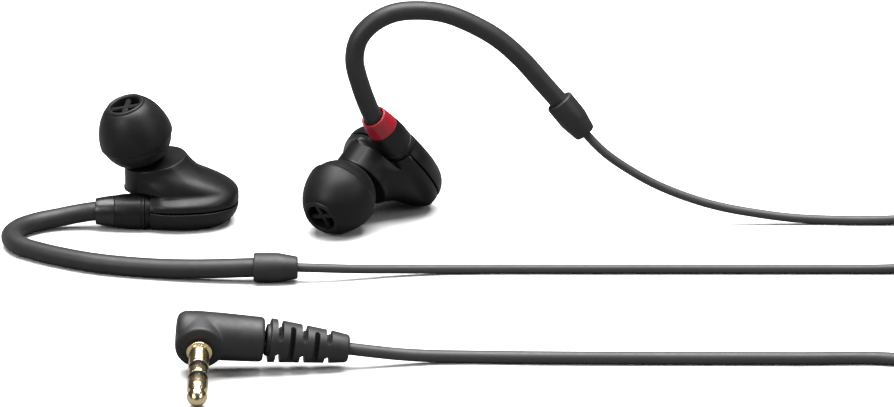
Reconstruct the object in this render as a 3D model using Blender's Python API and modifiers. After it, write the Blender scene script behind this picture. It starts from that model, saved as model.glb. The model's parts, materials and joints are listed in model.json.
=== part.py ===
"""In ear monitors: two earpieces on formed ear hooks, one cable, one angled plug.

Lengths are written in millimetres and turned into metres where meshes are made.
The left earpiece lies on its faceplate, the right one stands on its ear tip.
The cable's spare length is wound into three small coils, each held by a tie.
"""
import math

import bmesh
import bpy
from mathutils import Matrix, Vector

MM = 0.001
GAP = 0.3                # clearance between pieces that touch on the real object

# Where the left earpiece's socket meets the floor, in the part's own frame.
# Every place below is counted from this point.
HOME = Vector((-27.31, 6.01, 0.0))

# Earpiece, in its own frame: socket axis along X at AXIS_Z, faceplate down, ear side up.
AXIS_Z = 3.3
SEAM_Z = 4.0
SEAM_GAP = 0.3
WALL = 0.9
SOCKET_EDGE_R = 3.3
PORT_R = 2.95
PLATFORM_CENTRE = Vector((1.0, 4.3, 11.9))
PLATFORM_R = 5.7
PLATFORM_SLOPE = (0.15, 0.10)
NOZZLE_BASE = Vector((-1.1, 3.9, 12.0))
NOZZLE_AXIS = Vector((-0.266, -0.186, 0.946)).normalized()
NOZZLE_HOLE_R = 2.6
CROSS_HEIGHT = 11.1      # the wax-guard cross in the ear tip's mouth, up the nozzle's axis
CROSS_BAR = (5.8, 0.95, 0.8)
DRIVER_CENTRE = Vector((8.4, 6.4, 3.2))
RING_SAMPLES = 40        # points round the housing, FLAT_SAMPLES of them on its socket edge
FLAT_SAMPLES = 8

# Control points of the housing's outline at its seam, and of the faceplate's flat,
# counted from the socket's near edge, round the free end, to its far edge.
SEAM_OUTLINE = [
    (0.2, -3.2), (3.0, -4.1), (7.0, -4.1), (11.5, -3.0), (14.9, -0.4), (16.2, 3.6), (15.4, 8.4),
    (12.2, 12.6), (7.4, 15.0), (2.4, 14.4), (-0.9, 11.2), (-2.4, 7.4), (-2.0, 4.4), (0.2, 3.2)]
FLAT_OUTLINE = [
    (0.2, -0.4), (3.0, -0.6), (7.0, -0.6), (10.2, 0.4), (11.6, 2.0), (12.0, 4.6), (11.2, 7.6),
    (9.2, 9.8), (6.6, 10.8), (4.2, 10.2), (2.4, 8.4), (1.4, 6.2), (0.9, 3.6), (0.2, 0.4)]
# For each control point: the heights between which the wall draws in to the round
# platform, and the angle at which it arrives there.
RISE = [
    (6.55, 6.95, 236), (5.2, 10.0, 262), (5.4, 11.5, 286), (5.6, 12.2, 310), (5.6, 12.2, 334),
    (5.6, 12.2, 357), (5.6, 12.2, 382), (5.6, 12.2, 408), (5.4, 12.2, 434), (5.0, 11.0, 460),
    (4.4, 9.0, 486), (4.0, 7.0, 512), (4.0, 6.0, 538), (6.55, 6.95, 562)]

# Right earpiece: directions of its own X, Y and Z axes (its Y is mirrored) and its socket.
RIGHT_X = Vector((0.470, 0.459, -0.753))
RIGHT_Y = Vector((0.693, -0.721, -0.007))
RIGHT_SOCKET = Vector((45.66, 4.86, 13.97))

# Connector and hook.
CONNECTOR_LENGTH = 9.9
HOOK_R = 1.75
HOOK_BORE = 1.15
HOOK_START = 7.2
HOOK_STEP = 3.3
EAR_CABLE_R = 0.825
FERRULE_LENGTH = 7.9
FERRULE_BORE = EAR_CABLE_R + GAP

LEFT_HOOK = [
    (-7.2, 0.0, 3.3), (-9.9, 0.0, 3.3), (-13.2, 0.0, 2.8), (-16.7, -0.4, 2.2), (-20.5, -1.9, 1.9),
    (-23.6, -5.0, 1.8), (-24.9, -9.6, 1.8), (-23.3, -14.3, 1.8), (-19.4, -17.9, 1.8),
    (-14.9, -20.9, 1.8), (-9.3, -23.8, 1.8), (-3.6, -25.7, 1.8), (2.7, -27.1, 1.85),
    (9.0, -28.2, 2.1), (15.0, -28.9, 2.45), (19.9, -29.2, 2.7), (23.9, -29.2, 2.7)]
LEFT_FERRULE = (Vector((19.9, -29.2, 2.7)), Vector((1.0, 0.0, 0.0)))
LEFT_LEAD = [
    (23.9 + GAP, -29.2, 2.7), (27.8, -29.2, 2.7), (32.0, -29.0, 2.5), (38.0, -27.9, 1.95),
    (45.0, -26.3, 1.35), (53.0, -25.2, 0.98), (62.0, -24.8, 0.87), (80.0, -24.8, 0.87),
    (100.0, -24.8, 0.87), (120.0, -24.8, 0.87), (134.5, -24.8, 0.95), (143.5, -24.8, 1.75)]
RIGHT_HOOK_REST = [
    (38.6, -1.2, 28.4), (37.7, -1.7, 33.0), (38.5, -1.6, 36.8), (40.9, -1.2, 39.6),
    (44.7, -0.8, 41.5), (49.2, -0.4, 41.9), (54.5, 0.0, 41.1), (60.5, 0.5, 38.3), (64.3, 0.9, 35.7),
    (68.3, 1.4, 31.8), (72.0, 1.9, 27.3), (74.9, 2.2, 23.8), (77.38, 2.2, 20.66)]
RIGHT_FERRULE = (Vector((74.9, 2.2, 23.8)), Vector((0.62, 0.0, -0.785)))
RIGHT_LEAD = [
    (77.57, 2.2, 20.42), (79.8, 2.2, 17.6), (83.3, 2.2, 13.9), (87.2, 2.2, 11.0), (92.6, 2.2, 7.8),
    (98.7, 2.2, 5.2), (104.6, 2.2, 3.4), (112.0, 2.2, 2.0), (118.0, 2.2, 1.2), (124.0, 2.2, 0.87),
    (130.0, 1.9, 0.87), (136.5, 1.9, 1.0), (143.8, 1.9, 1.75)]

# Plug: the flat face of its barrel, the way its pins point, and its cable arm.
PLUG_FACE = Vector((12.1, -79.2, 5.57))
PLUG_AXIS = Vector((0.0, -0.956, -0.292)).normalized()
BARREL_R = 4.25
BARREL_LENGTH = 4.3
ELBOW_DEPTH = 4.1        # from the barrel's face to the arm's axis
SHAFT_R = 1.75
ARM_END = Vector((23.0, -74.7, 5.75))
RELIEF_END = Vector((37.5, -73.4, 3.6))
MAIN_CABLE_R = 1.1
MAIN_RUN = [
    (21.3, -74.8, 5.95), (25.0, -74.52, 5.46), (31.0, -73.98, 4.57), (37.5, -73.4, 3.6),
    (41.8, -72.7, 2.8), (46.6, -71.8, 1.95), (52.0, -71.0, 1.36), (58.0, -70.7, 1.14),
    (67.0, -71.0, 1.13), (82.0, -71.3, 1.13), (98.0, -71.4, 1.13), (115.0, -71.5, 1.13),
    (131.5, -71.8, 1.13), (139.5, -76.3, 1.45), (147.2, -79.9, 1.9)]

# Coils: centre, inner and outer radius, and height.
COIL_LIFT = 0.9
MAIN_COIL = (Vector((158.4, -62.9)), 7.7, 18.7, 4.4)
LEFT_COIL = (Vector((150.0, -34.3)), 8.65, 10.35, 3.3)
RIGHT_COIL = (Vector((151.0, -8.4)), 7.9, 11.15, 3.1)
TIE_WIDTH = 3.4
TIE_THICKNESS = 0.6

# Pieces along the straight pair of ear leads.
LINE_X = 176.0
LEAD_SPREAD = 1.2
LEAD_Z = 1.9
SPLIT_ENDS = (-50.0, -38.0)
SLIDER_ENDS = (-36.0, -28.0)
LEFT_TAIL = [
    (156.9, -24.8, 3.8), (160.3, -23.9, 2.7), (164.1, -20.9, 1.5), (166.3, -15.6, 0.95),
    (167.0, -10.2, 0.87), (167.3, -5.4, 0.87), (168.5, -2.5, 0.87), (171.0, -1.3, 0.87),
    (173.5, -2.5, 0.9), (174.7, -5.4, 1.1), (174.8, -9.0, 1.6), (174.8, -14.0, 1.9),
    (174.8, -20.0, 1.9), (174.8, -29.0, 1.9), (174.8, -37.7, 1.9)]
RIGHT_TAIL = [
    (159.2, 1.6, 3.2), (164.0, 1.5, 2.1), (169.0, 1.1, 1.2), (173.5, 0.0, 0.9), (176.3, -2.9, 0.95),
    (177.2, -6.4, 1.3), (177.2, -10.0, 1.7), (177.2, -14.0, 1.9), (177.2, -20.0, 1.9),
    (177.2, -29.0, 1.9), (177.2, -37.7, 1.9)]
MAIN_TAIL = [(176.0, -53.0, 3.8), (176.0, -51.6, 3.2), (176.0, -50.3, 2.7)]

COLOURS = {
    "housing_black": ((0.018, 0.018, 0.020), 0.32, 0.0),
    "silicone_black": ((0.030, 0.030, 0.032), 0.62, 0.0),
    "hook_grey": ((0.060, 0.061, 0.064), 0.60, 0.0),
    "cable_grey": ((0.110, 0.112, 0.116), 0.50, 0.0),
    "id_black": ((0.022, 0.022, 0.024), 0.35, 0.0),
    "id_red": ((0.52, 0.022, 0.034), 0.38, 0.0),
    "overmould_grey": ((0.048, 0.049, 0.053), 0.55, 0.0),
    "gold": ((0.90, 0.68, 0.32), 0.20, 1.0),
    "steel": ((0.62, 0.62, 0.63), 0.28, 1.0),
    "magnet": ((0.36, 0.36, 0.38), 0.35, 1.0),
    "copper": ((0.78, 0.36, 0.20), 0.35, 1.0),
    "film": ((0.55, 0.50, 0.42), 0.30, 0.0),
    "insulator_black": ((0.012, 0.012, 0.013), 0.45, 0.0),
}


def clear_scene():
    for obj in list(bpy.data.objects):
        bpy.data.objects.remove(obj, do_unlink=True)


def new_collection(name):
    group = bpy.data.collections.new(name)
    bpy.context.scene.collection.children.link(group)
    return group


def material(name):
    if name in bpy.data.materials:
        return bpy.data.materials[name]
    colour, roughness, metallic = COLOURS[name]
    mat = bpy.data.materials.new(name)
    mat.use_nodes = True
    shader = mat.node_tree.nodes["Principled BSDF"]
    shader.inputs["Base Color"].default_value = (*colour, 1.0)
    shader.inputs["Roughness"].default_value = roughness
    shader.inputs["Metallic"].default_value = metallic
    return mat


def axis_frame(point, direction):
    """A matrix whose Z axis runs along direction from point, in metres."""
    turn = Vector(direction).to_track_quat("Z", "Y").to_matrix().to_4x4()
    return Matrix.Translation(Vector(point) * MM) @ turn


def add(name, mesh, finish, group, parent=None, frame=None):
    obj = bpy.data.objects.new(name, mesh)
    group.objects.link(obj)
    if parent is not None:
        obj.parent = parent
    if frame is not None:
        obj.matrix_local = frame
    if finish:
        mesh.materials.append(material(finish))
    return obj


def smooth_by_angle(mesh, angle=35.0):
    mesh.shade_smooth()
    mesh.set_sharp_from_angle(angle=math.radians(angle))


def turned(name, profile, finish, group, parent=None, frame=None, steps=24, closed=False):
    """A Screw of a profile of (radius, height) points, run down its outer side."""
    mesh = bpy.data.meshes.new(name)
    count = len(profile)
    edges = [(i, i + 1) for i in range(count - 1)]
    if closed:
        edges.append((count - 1, 0))
    mesh.from_pydata([(r * MM, 0.0, h * MM) for r, h in profile], edges, [])
    obj = add(name, mesh, finish, group, parent, frame)
    screw = obj.modifiers.new("turn", "SCREW")
    screw.steps = steps
    screw.render_steps = steps
    screw.use_merge_vertices = True
    screw.merge_threshold = 0.000002
    screw.use_smooth_shade = True
    return obj


def ring_profile(r_in, r_out, low, high):
    return [(r_out, high), (r_out, low), (r_in, low), (r_in, high)]


def rod_profile(radius, low, high):
    return [(0.0, high), (radius, high), (radius, low), (0.0, low)]


def smooth_path(route, spacing):
    """Points at equal steps along a centripetal Catmull-Rom curve through the route."""
    route = [Vector(p) for p in route]
    ends = [route[0] * 2 - route[1]] + route + [route[-1] * 2 - route[-2]]
    fine = [route[0]]
    for p0, p1, p2, p3 in zip(ends, ends[1:], ends[2:], ends[3:]):
        t1 = (p1 - p0).length ** 0.5
        t2 = t1 + (p2 - p1).length ** 0.5
        t3 = t2 + (p3 - p2).length ** 0.5
        for step in range(1, 13):
            t = t1 + (t2 - t1) * step / 12
            a1 = p0 * (1 - t / t1) + p1 * (t / t1)
            a2 = p1 * ((t2 - t) / (t2 - t1)) + p2 * ((t - t1) / (t2 - t1))
            a3 = p2 * ((t3 - t) / (t3 - t2)) + p3 * ((t - t2) / (t3 - t2))
            b1 = a1 * ((t2 - t) / t2) + a2 * (t / t2)
            b2 = a2 * ((t3 - t) / (t3 - t1)) + a3 * ((t - t1) / (t3 - t1))
            fine.append(b1 * ((t2 - t) / (t2 - t1)) + b2 * ((t - t1) / (t2 - t1)))
    lengths = [0.0]
    for a, b in zip(fine, fine[1:]):
        lengths.append(lengths[-1] + (b - a).length)
    count = max(2, round(lengths[-1] / spacing))
    points, k = [], 0
    for i in range(count + 1):
        target = lengths[-1] * i / count
        while k < len(fine) - 2 and lengths[k + 1] < target:
            k += 1
        part = (target - lengths[k]) / max(lengths[k + 1] - lengths[k], 1e-9)
        points.append(fine[k].lerp(fine[k + 1], min(part, 1.0)))
    return points


def tube_curve(name, route, radius, spacing, group, resolution=2, caps=True):
    curve = bpy.data.curves.new(name, "CURVE")
    curve.dimensions = "3D"
    curve.bevel_depth = radius * MM
    curve.bevel_resolution = resolution
    curve.use_fill_caps = caps
    points = smooth_path(route, spacing)
    spline = curve.splines.new("POLY")
    spline.points.add(len(points) - 1)
    for spot, point in zip(spline.points, points):
        spot.co = (*((point + HOME) * MM), 1.0)
    obj = bpy.data.objects.new(name, curve)
    group.objects.link(obj)
    return obj


def meshed(obj, finish, group):
    """The mesh of a curve object, with its caps welded, in the curve's place."""
    depsgraph = bpy.context.evaluated_depsgraph_get()
    mesh = bpy.data.meshes.new_from_object(obj.evaluated_get(depsgraph))
    name, place = obj.name, obj.matrix_world.copy()
    bpy.data.objects.remove(obj, do_unlink=True)
    weld = bmesh.new()
    weld.from_mesh(mesh)
    bmesh.ops.remove_doubles(weld, verts=weld.verts, dist=0.000002)
    weld.to_mesh(mesh)
    weld.free()
    mesh.materials.clear()
    new = add(name, mesh, finish, group)
    new.matrix_world = place
    return new


def cord(name, route, radius, spacing, finish, group):
    tube = meshed(tube_curve(name, route, radius, spacing, group), finish, group)
    smooth_by_angle(tube.data, 50.0)
    return tube


def loft(name, rings, finish, group, parent=None, frame=None, around=False):
    """A skin over rings of equal count; capped at both ends, or closed round on itself."""
    shape = bmesh.new()
    rows = [[shape.verts.new(Vector(p) * MM) for p in ring] for ring in rings]
    pairs = list(zip(rows, rows[1:]))
    if around:
        pairs.append((rows[-1], rows[0]))
    else:
        shape.faces.new(rows[0])
        shape.faces.new(list(reversed(rows[-1])))
    count = len(rows[0])
    for low, high in pairs:
        for i in range(count):
            j = (i + 1) % count
            shape.faces.new((low[j], low[i], high[i], high[j]))
    if shape.calc_volume(signed=True) < 0.0:
        bmesh.ops.reverse_faces(shape, faces=shape.faces)
    mesh = bpy.data.meshes.new(name)
    shape.to_mesh(mesh)
    shape.free()
    smooth_by_angle(mesh, 40.0)
    return add(name, mesh, finish, group, parent, frame)


def cut(obj, cutters, operation="DIFFERENCE"):
    for cutter in cutters:
        trim = obj.modifiers.new(cutter.name, "BOOLEAN")
        trim.operation = operation
        trim.solver = "EXACT"
        trim.object = cutter


def make_cutter(obj, group):
    for owner in list(obj.users_collection):
        owner.objects.unlink(obj)
    group.objects.link(obj)
    obj.hide_render = True
    obj.display_type = "WIRE"
    return obj


def block(name, size, group, frame):
    """A box with its centre on the frame, kept as a cutter."""
    shape = bmesh.new()
    bmesh.ops.create_cube(shape, size=1.0)
    bmesh.ops.scale(shape, vec=Vector(size) * MM, verts=shape.verts)
    mesh = bpy.data.meshes.new(name)
    shape.to_mesh(mesh)
    shape.free()
    return make_cutter(add(name, mesh, None, group, None, frame), group)


def ease(value, low, high):
    part = min(max((value - low) / (high - low), 0.0), 1.0)
    return part * part * (3.0 - 2.0 * part)


def outline_samples(controls):
    """The open chain of controls as a smooth line, and the socket's flat edge as a straight one."""
    chain = [Vector((x, y, 0.0)) for x, y in controls]
    total = RING_SAMPLES - FLAT_SAMPLES
    ends = [chain[0] * 2 - chain[1]] + chain + [chain[-1] * 2 - chain[-2]]
    samples = []
    for i in range(total + 1):
        place = (len(chain) - 1) * i / total
        k = min(int(place), len(chain) - 2)
        t = place - k
        p0, p1, p2, p3 = ends[k:k + 4]
        samples.append(0.5 * ((2 * p1) + (p2 - p0) * t + (2 * p0 - 5 * p1 + 4 * p2 - p3) * t * t
                              + (3 * p1 - p0 - 3 * p2 + p3) * t ** 3))
    for i in range(1, FLAT_SAMPLES):
        samples.append(chain[-1].lerp(chain[0], i / FLAT_SAMPLES))
    return samples


def housing_ring(height, shelf_lift=0.0):
    """The housing's outline at a height above the flat; a lift raises the shelf over the socket."""
    if height <= SEAM_Z:
        spread = math.sqrt(max(0.0, 1.0 - (1.0 - height / SEAM_Z) ** 2))
        controls = [Vector(a).lerp(Vector(b), spread) for a, b in zip(FLAT_OUTLINE, SEAM_OUTLINE)]
        return [Vector((p.x, p.y, height)) for p in outline_samples(controls)]
    edge = math.sqrt(max(0.04, SOCKET_EDGE_R ** 2 - (height - AXIS_Z) ** 2))
    controls = []
    for index, ((x, y), (start, end, angle)) in enumerate(zip(SEAM_OUTLINE, RISE)):
        if index in (0, len(SEAM_OUTLINE) - 1):
            y = math.copysign(edge, y)
        drawn = ease(height, start, end)
        if index in (0, len(SEAM_OUTLINE) - 1):
            drawn = ease(height, start + shelf_lift, end + shelf_lift)
        turn = math.radians(angle)
        target = Vector((PLATFORM_CENTRE.x + PLATFORM_R * math.cos(turn),
                         PLATFORM_CENTRE.y + PLATFORM_R * math.sin(turn)))
        controls.append(Vector((x, y)).lerp(target, drawn))
    samples = outline_samples(controls)
    over = ease(height, RISE[0][0] + shelf_lift, RISE[0][1] + shelf_lift)
    first, last = math.radians(RISE[-1][2]), math.radians(RISE[0][2] + 360)
    for i in range(1, FLAT_SAMPLES):
        turn = first + (last - first) * i / FLAT_SAMPLES
        arc = Vector((PLATFORM_CENTRE.x + PLATFORM_R * math.cos(turn),
                      PLATFORM_CENTRE.y + PLATFORM_R * math.sin(turn), 0.0))
        spot = len(samples) - FLAT_SAMPLES + i
        samples[spot] = samples[spot].lerp(arc, over)
    blend = ease(height, 9.5, PLATFORM_CENTRE.z)
    return [Vector((p.x, p.y, height + (platform_height(p) - PLATFORM_CENTRE.z) * blend))
            for p in samples]


def platform_height(point):
    return (PLATFORM_CENTRE.z + PLATFORM_SLOPE[0] * (point.x - PLATFORM_CENTRE.x)
            + PLATFORM_SLOPE[1] * (point.y - PLATFORM_CENTRE.y))


def inset(ring, wall, lift=0.0):
    """The ring drawn in towards its middle by the wall's thickness."""
    middle = sum(ring, Vector()) / len(ring)
    inner = []
    for point in ring:
        reach = Vector((point.x - middle.x, point.y - middle.y, 0.0))
        short = max(reach.length - wall, 0.3)
        inner.append(Vector((middle.x, middle.y, point.z + lift)) + reach.normalized() * short)
    return inner


def platform_ring(radius, drop):
    """A round of the platform's rim, each point at its own control angle."""
    ring = housing_ring(PLATFORM_CENTRE.z + 0.35)
    points = []
    for point in ring:
        reach = Vector((point.x - PLATFORM_CENTRE.x, point.y - PLATFORM_CENTRE.y, 0.0)).normalized()
        spot = PLATFORM_CENTRE + reach * radius
        points.append(Vector((spot.x, spot.y, platform_height(spot) - drop)))
    return points


def nozzle_ring(radius, along):
    """A round on the nozzle's axis, each point facing its neighbour on the platform."""
    points = []
    for point in platform_ring(PLATFORM_R, 0.0):
        reach = point - NOZZLE_BASE
        reach -= NOZZLE_AXIS * reach.dot(NOZZLE_AXIS)
        points.append(NOZZLE_BASE + reach.normalized() * radius + NOZZLE_AXIS * along)
    return points


def sided(rings, side):
    return [[Vector((p.x, p.y * side, p.z)) for p in ring] for ring in rings]


def sided_axis(point, direction, side):
    return axis_frame((point.x, point.y * side, point.z),
                      (direction.x, direction.y * side, direction.z))


def build_housing(label, side, place, group, cutters):
    port = turned(label + "_port_cut", rod_profile(PORT_R, -1.0, 5.6), None, cutters, place,
                  sided_axis(Vector((0.0, 0.0, AXIS_Z)), Vector((1.0, 0.0, 0.0)), side))
    make_cutter(port, cutters)
    low_seam = SEAM_Z - SEAM_GAP / 2
    high_seam = SEAM_Z + SEAM_GAP / 2

    outer = [housing_ring(h) for h in (low_seam, 2.9, 1.9, 1.1, 0.5, 0.14, 0.0)]
    inner = [inset(housing_ring(h), WALL) for h in (1.1, 2.0, 2.9)]
    inner = [[Vector((p.x, p.y, max(p.z, WALL))) for p in ring] for ring in inner]
    inner.append(inset(housing_ring(low_seam), WALL))
    plate = loft(label + "_faceplate", sided(inner + outer, side), "housing_black", group, place)
    cut(plate, [port])

    heights = (high_seam, 5.0, 5.8, 6.5, 7.0, 7.8, 8.8, 9.8, 10.8, 11.6)
    outer = [housing_ring(h) for h in heights]
    outer += [platform_ring(PLATFORM_R, 0.05), platform_ring(PLATFORM_R - 0.45, -0.12)]
    hole = [nozzle_ring(NOZZLE_HOLE_R, 0.1), nozzle_ring(NOZZLE_HOLE_R, -1.2)]
    inner = [inset(housing_ring(h, WALL), WALL, -drop) for h, drop in (
        (10.2, 0.6), (9.2, 0.4), (8.5, 0.3), (7.95, 0.0), (7.45, 0.0), (6.0, 0.0), (5.0, 0.0),
        (high_seam, 0.0))]
    shell = loft(label + "_inner_shell", sided(outer + hole + inner, side), "housing_black", group,
                 place, around=True)
    cut(shell, [port])


def build_nozzle(label, side, place, group, cutters):
    frame = sided_axis(NOZZLE_BASE, NOZZLE_AXIS, side)
    bore, neck, top = 1.9, 2.35, 10.3
    profile = [(neck, top), (neck, 8.8), (2.2, 8.5), (2.2, 5.4), (2.3, 5.1), (2.3, -1.5),
               (2.7, -2.0), (2.7, -2.4), (bore, -2.4), (bore, top)]
    turned(label + "_nozzle", profile, "housing_black", group, place, frame, 18, True)
    turned(label + "_nozzle_mesh", rod_profile(bore - GAP, 7.4, 7.7), "steel", group, place,
           frame, 12)
    tip = [(3.0, 12.1), (3.5, 12.05), (4.1, 11.6), (5.1, 10.4), (6.1, 8.4), (6.7, 6.4), (6.85, 4.7),
           (6.5, 3.2), (5.7, 1.9), (4.8, 1.0), (4.4, 1.2), (5.3, 2.2), (6.1, 3.5), (6.3, 5.0),
           (5.6, 8.0), (4.6, 9.6), (3.9, 10.2), (3.3, 9.9), (3.3, 2.0), (2.7, 1.9), (2.7, 11.8)]
    cap = turned(label + "_ear_tip", tip, "silicone_black", group, place, frame, 20, True)
    for index, angle in enumerate((45.0, 135.0)):
        turn = frame @ Matrix.Translation((0.0, 0.0, CROSS_HEIGHT * MM)) @ Matrix.Rotation(
            math.radians(angle), 4, "Z")
        bar = block("%s_cross_%d" % (label, index), CROSS_BAR, cutters, None)
        bar.parent = place
        bar.matrix_local = turn
        cut(cap, [bar], "UNION")


def build_driver(label, side, place, group):
    frame = sided_axis(DRIVER_CENTRE, Vector((0.0, 0.0, 1.0)), side)
    basket = [(3.7, 4.2), (3.7, 3.3), (3.2, 0.0), (1.2, 0.0), (1.2, 0.5), (2.8, 0.5), (3.2, 3.3),
              (3.2, 4.2)]
    turned(label + "_driver_basket", basket, "steel", group, place, frame, 16, True)
    turned(label + "_driver_magnet", rod_profile(1.7, 0.8, 2.4), "magnet", group, place,
           frame, 12)
    turned(label + "_voice_coil", ring_profile(2.05, 2.35, 1.4, 3.0), "copper", group, place,
           frame, 12, True)
    dome = [(0.0, 4.2), (1.2, 4.0), (2.0, 3.5), (2.5, 3.75), (2.9, 3.6), (2.9, 3.4), (2.5, 3.5),
            (2.0, 3.3), (1.2, 3.75), (0.0, 3.95)]
    turned(label + "_diaphragm", dome, "film", group, place, frame, 12)


def build_socket(label, side, place, group):
    """The metal jack inside the housing, and the turning pin barrel that goes into it."""
    frame = sided_axis(Vector((0.0, 0.0, AXIS_Z)), Vector((1.0, 0.0, 0.0)), side)
    barrel = [(2.15, 4.6), (2.15, -0.55), (3.0, -0.55), (3.0, -0.1), (2.65, -0.1), (2.65, 5.2),
              (1.5, 5.2), (1.5, 4.6)]
    turned(label + "_socket_barrel", list(reversed(barrel)), "steel", group, place, frame, 14, True)
    contact = [(0.0, 6.0), (1.05, 6.0), (1.05, 3.5), (0.75, 3.5), (0.75, 5.3), (0.0, 5.3)]
    turned(label + "_socket_contact", contact, "gold", group, place, frame, 8)


def build_connector(label, colour, frame, group):
    """The cable's side of the connector; frame's Z runs from the socket out along the cable."""
    shell = [(2.6, 6.2), (2.9, 6.2), (3.2, 4.6), (3.25, 3.6), (3.25, 0.85), (1.8, 0.85), (1.8, 4.1),
             (1.2, 4.3), (1.2, 6.2)]
    turned(label + "_connector_shell", shell, "housing_black", group, None, frame, 20, True)
    ring = [(2.3, 9.9), (2.45, 9.75), (2.95, 6.5), (2.1, 6.5), (2.1, 9.9)]
    turned(label + "_id_ring", ring, colour, group, None, frame, 20, True)
    pin = [(1.5, 3.8), (1.5, -1.3), (1.15, -1.3), (1.15, -2.5), (1.5, -2.5), (1.5, -3.2),
           (1.1, -3.2), (1.1, 3.8)]
    turned(label + "_pin_barrel", pin, "gold", group, None, frame, 12, True)
    contact = [(0.0, 6.8), (0.4, 6.8), (0.4, 3.8), (0.6, 3.6), (0.6, -1.0), (0.4, -1.2), (0.4, -4.4),
               (0.0, -4.6)]
    turned(label + "_centre_pin", contact, "gold", group, None, frame, 8)
    turned(label + "_snap_ring", ring_profile(1.45, 1.85, -2.2, -1.6), "steel", group, None,
           frame, 12, True)


def build_hook(label, route, ferrule, group):
    """A hollow formed sleeve, the cable inside it, and the ferrule at its end."""
    centre = tube_curve(label + "_ear_hook", route, HOOK_R, HOOK_STEP, group, 3, False)
    sleeve = meshed(centre, "hook_grey", group)
    wall = sleeve.modifiers.new("wall", "SOLIDIFY")
    wall.thickness = (HOOK_R - HOOK_BORE) * MM
    wall.offset = -1.0
    smooth_by_angle(sleeve.data, 60.0)
    cord(label + "_hook_wire", route, EAR_CABLE_R, HOOK_STEP, "cable_grey", group)
    start, along = ferrule
    frame = Matrix.Translation(HOME * MM) @ axis_frame(start, along)
    boot = [(1.3, FERRULE_LENGTH), (1.9, FERRULE_LENGTH), (2.05, FERRULE_LENGTH - 0.3), (2.6, 4.5),
            (2.65, 4.0), (2.65, 0.25), (2.5, 0.0), (HOOK_R + GAP, 0.0), (HOOK_R + GAP, 4.3),
            (FERRULE_BORE, 4.3), (FERRULE_BORE, FERRULE_LENGTH)]
    turned(label + "_ferrule", boot, "overmould_grey", group, None, frame, 18, True)


def build_coil(name, coil, group):
    centre, r_in, r_out, tall = coil
    low = COIL_LIFT
    profile = [(r_out - 0.7, low + tall), (r_out, low + tall - 0.7), (r_out, low + 0.7),
               (r_out - 0.7, low), (r_in + 0.7, low), (r_in, low + 0.7), (r_in, low + tall - 0.7),
               (r_in + 0.7, low + tall)]
    frame = Matrix.Translation((Vector((centre.x, centre.y, 0.0)) + HOME) * MM)
    turned(name, profile, "cable_grey", group, None, frame, 32, True)


def build_tie(name, coil, angle, group):
    """A flat band round one coil, on the side away from where the cable leaves it."""
    centre, r_in, r_out, tall = coil
    turn = Matrix.Rotation(math.radians(angle), 4, "Z")
    frame = Matrix.Translation((Vector((centre.x, centre.y, 0.0)) + HOME) * MM) @ turn
    rings = []
    for grow, y in ((TIE_THICKNESS, -1), (TIE_THICKNESS, 1), (0.0, 1), (0.0, -1)):
        edge = GAP + grow
        left, right = r_in - edge, r_out + edge
        low, high = COIL_LIFT - edge, COIL_LIFT + tall + edge
        rings.append([Vector((x, y * TIE_WIDTH / 2, z))
                      for x, z in ((left, low), (right, low), (right, high), (left, high))])
    loft(name, rings, "overmould_grey", group, None, frame, around=True)


def oval(x_half, z_half, y, z, power=2.5, count=20):
    points = []
    for i in range(count):
        turn = 2 * math.pi * i / count
        c, s = math.cos(turn), math.sin(turn)
        points.append(Vector((math.copysign(abs(c) ** (2 / power), c) * x_half + LINE_X, y,
                              math.copysign(abs(s) ** (2 / power), s) * z_half + z)) + HOME)
    return points


def build_line_pieces(group):
    low, high = SPLIT_ENDS
    rings = [oval(1.7, 1.7, low, 2.7), oval(2.0, 2.0, low + 1.6, 2.6), oval(2.4, 2.2, low + 2.6, 2.5),
             oval(2.9, 2.3, low + 5.5, 2.4), oval(3.2, 2.2, high - 2.5, 2.25),
             oval(3.0, 1.9, high - 0.5, 2.0), oval(2.7, 1.6, high, 1.95)]
    loft("y_split", rings, "overmould_grey", group)
    low, high = SLIDER_ENDS
    outer = [oval(3.0, 1.55, low, LEAD_Z), oval(3.35, 1.85, low + 0.6, LEAD_Z),
             oval(3.35, 1.85, high - 0.6, LEAD_Z), oval(3.0, 1.55, high, LEAD_Z)]
    bore = [oval(LEAD_SPREAD + EAR_CABLE_R + GAP, EAR_CABLE_R + GAP, y, LEAD_Z, 3.2)
            for y in (high, low)]
    loft("chin_slider", outer + bore, "overmould_grey", group, around=True)


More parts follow.
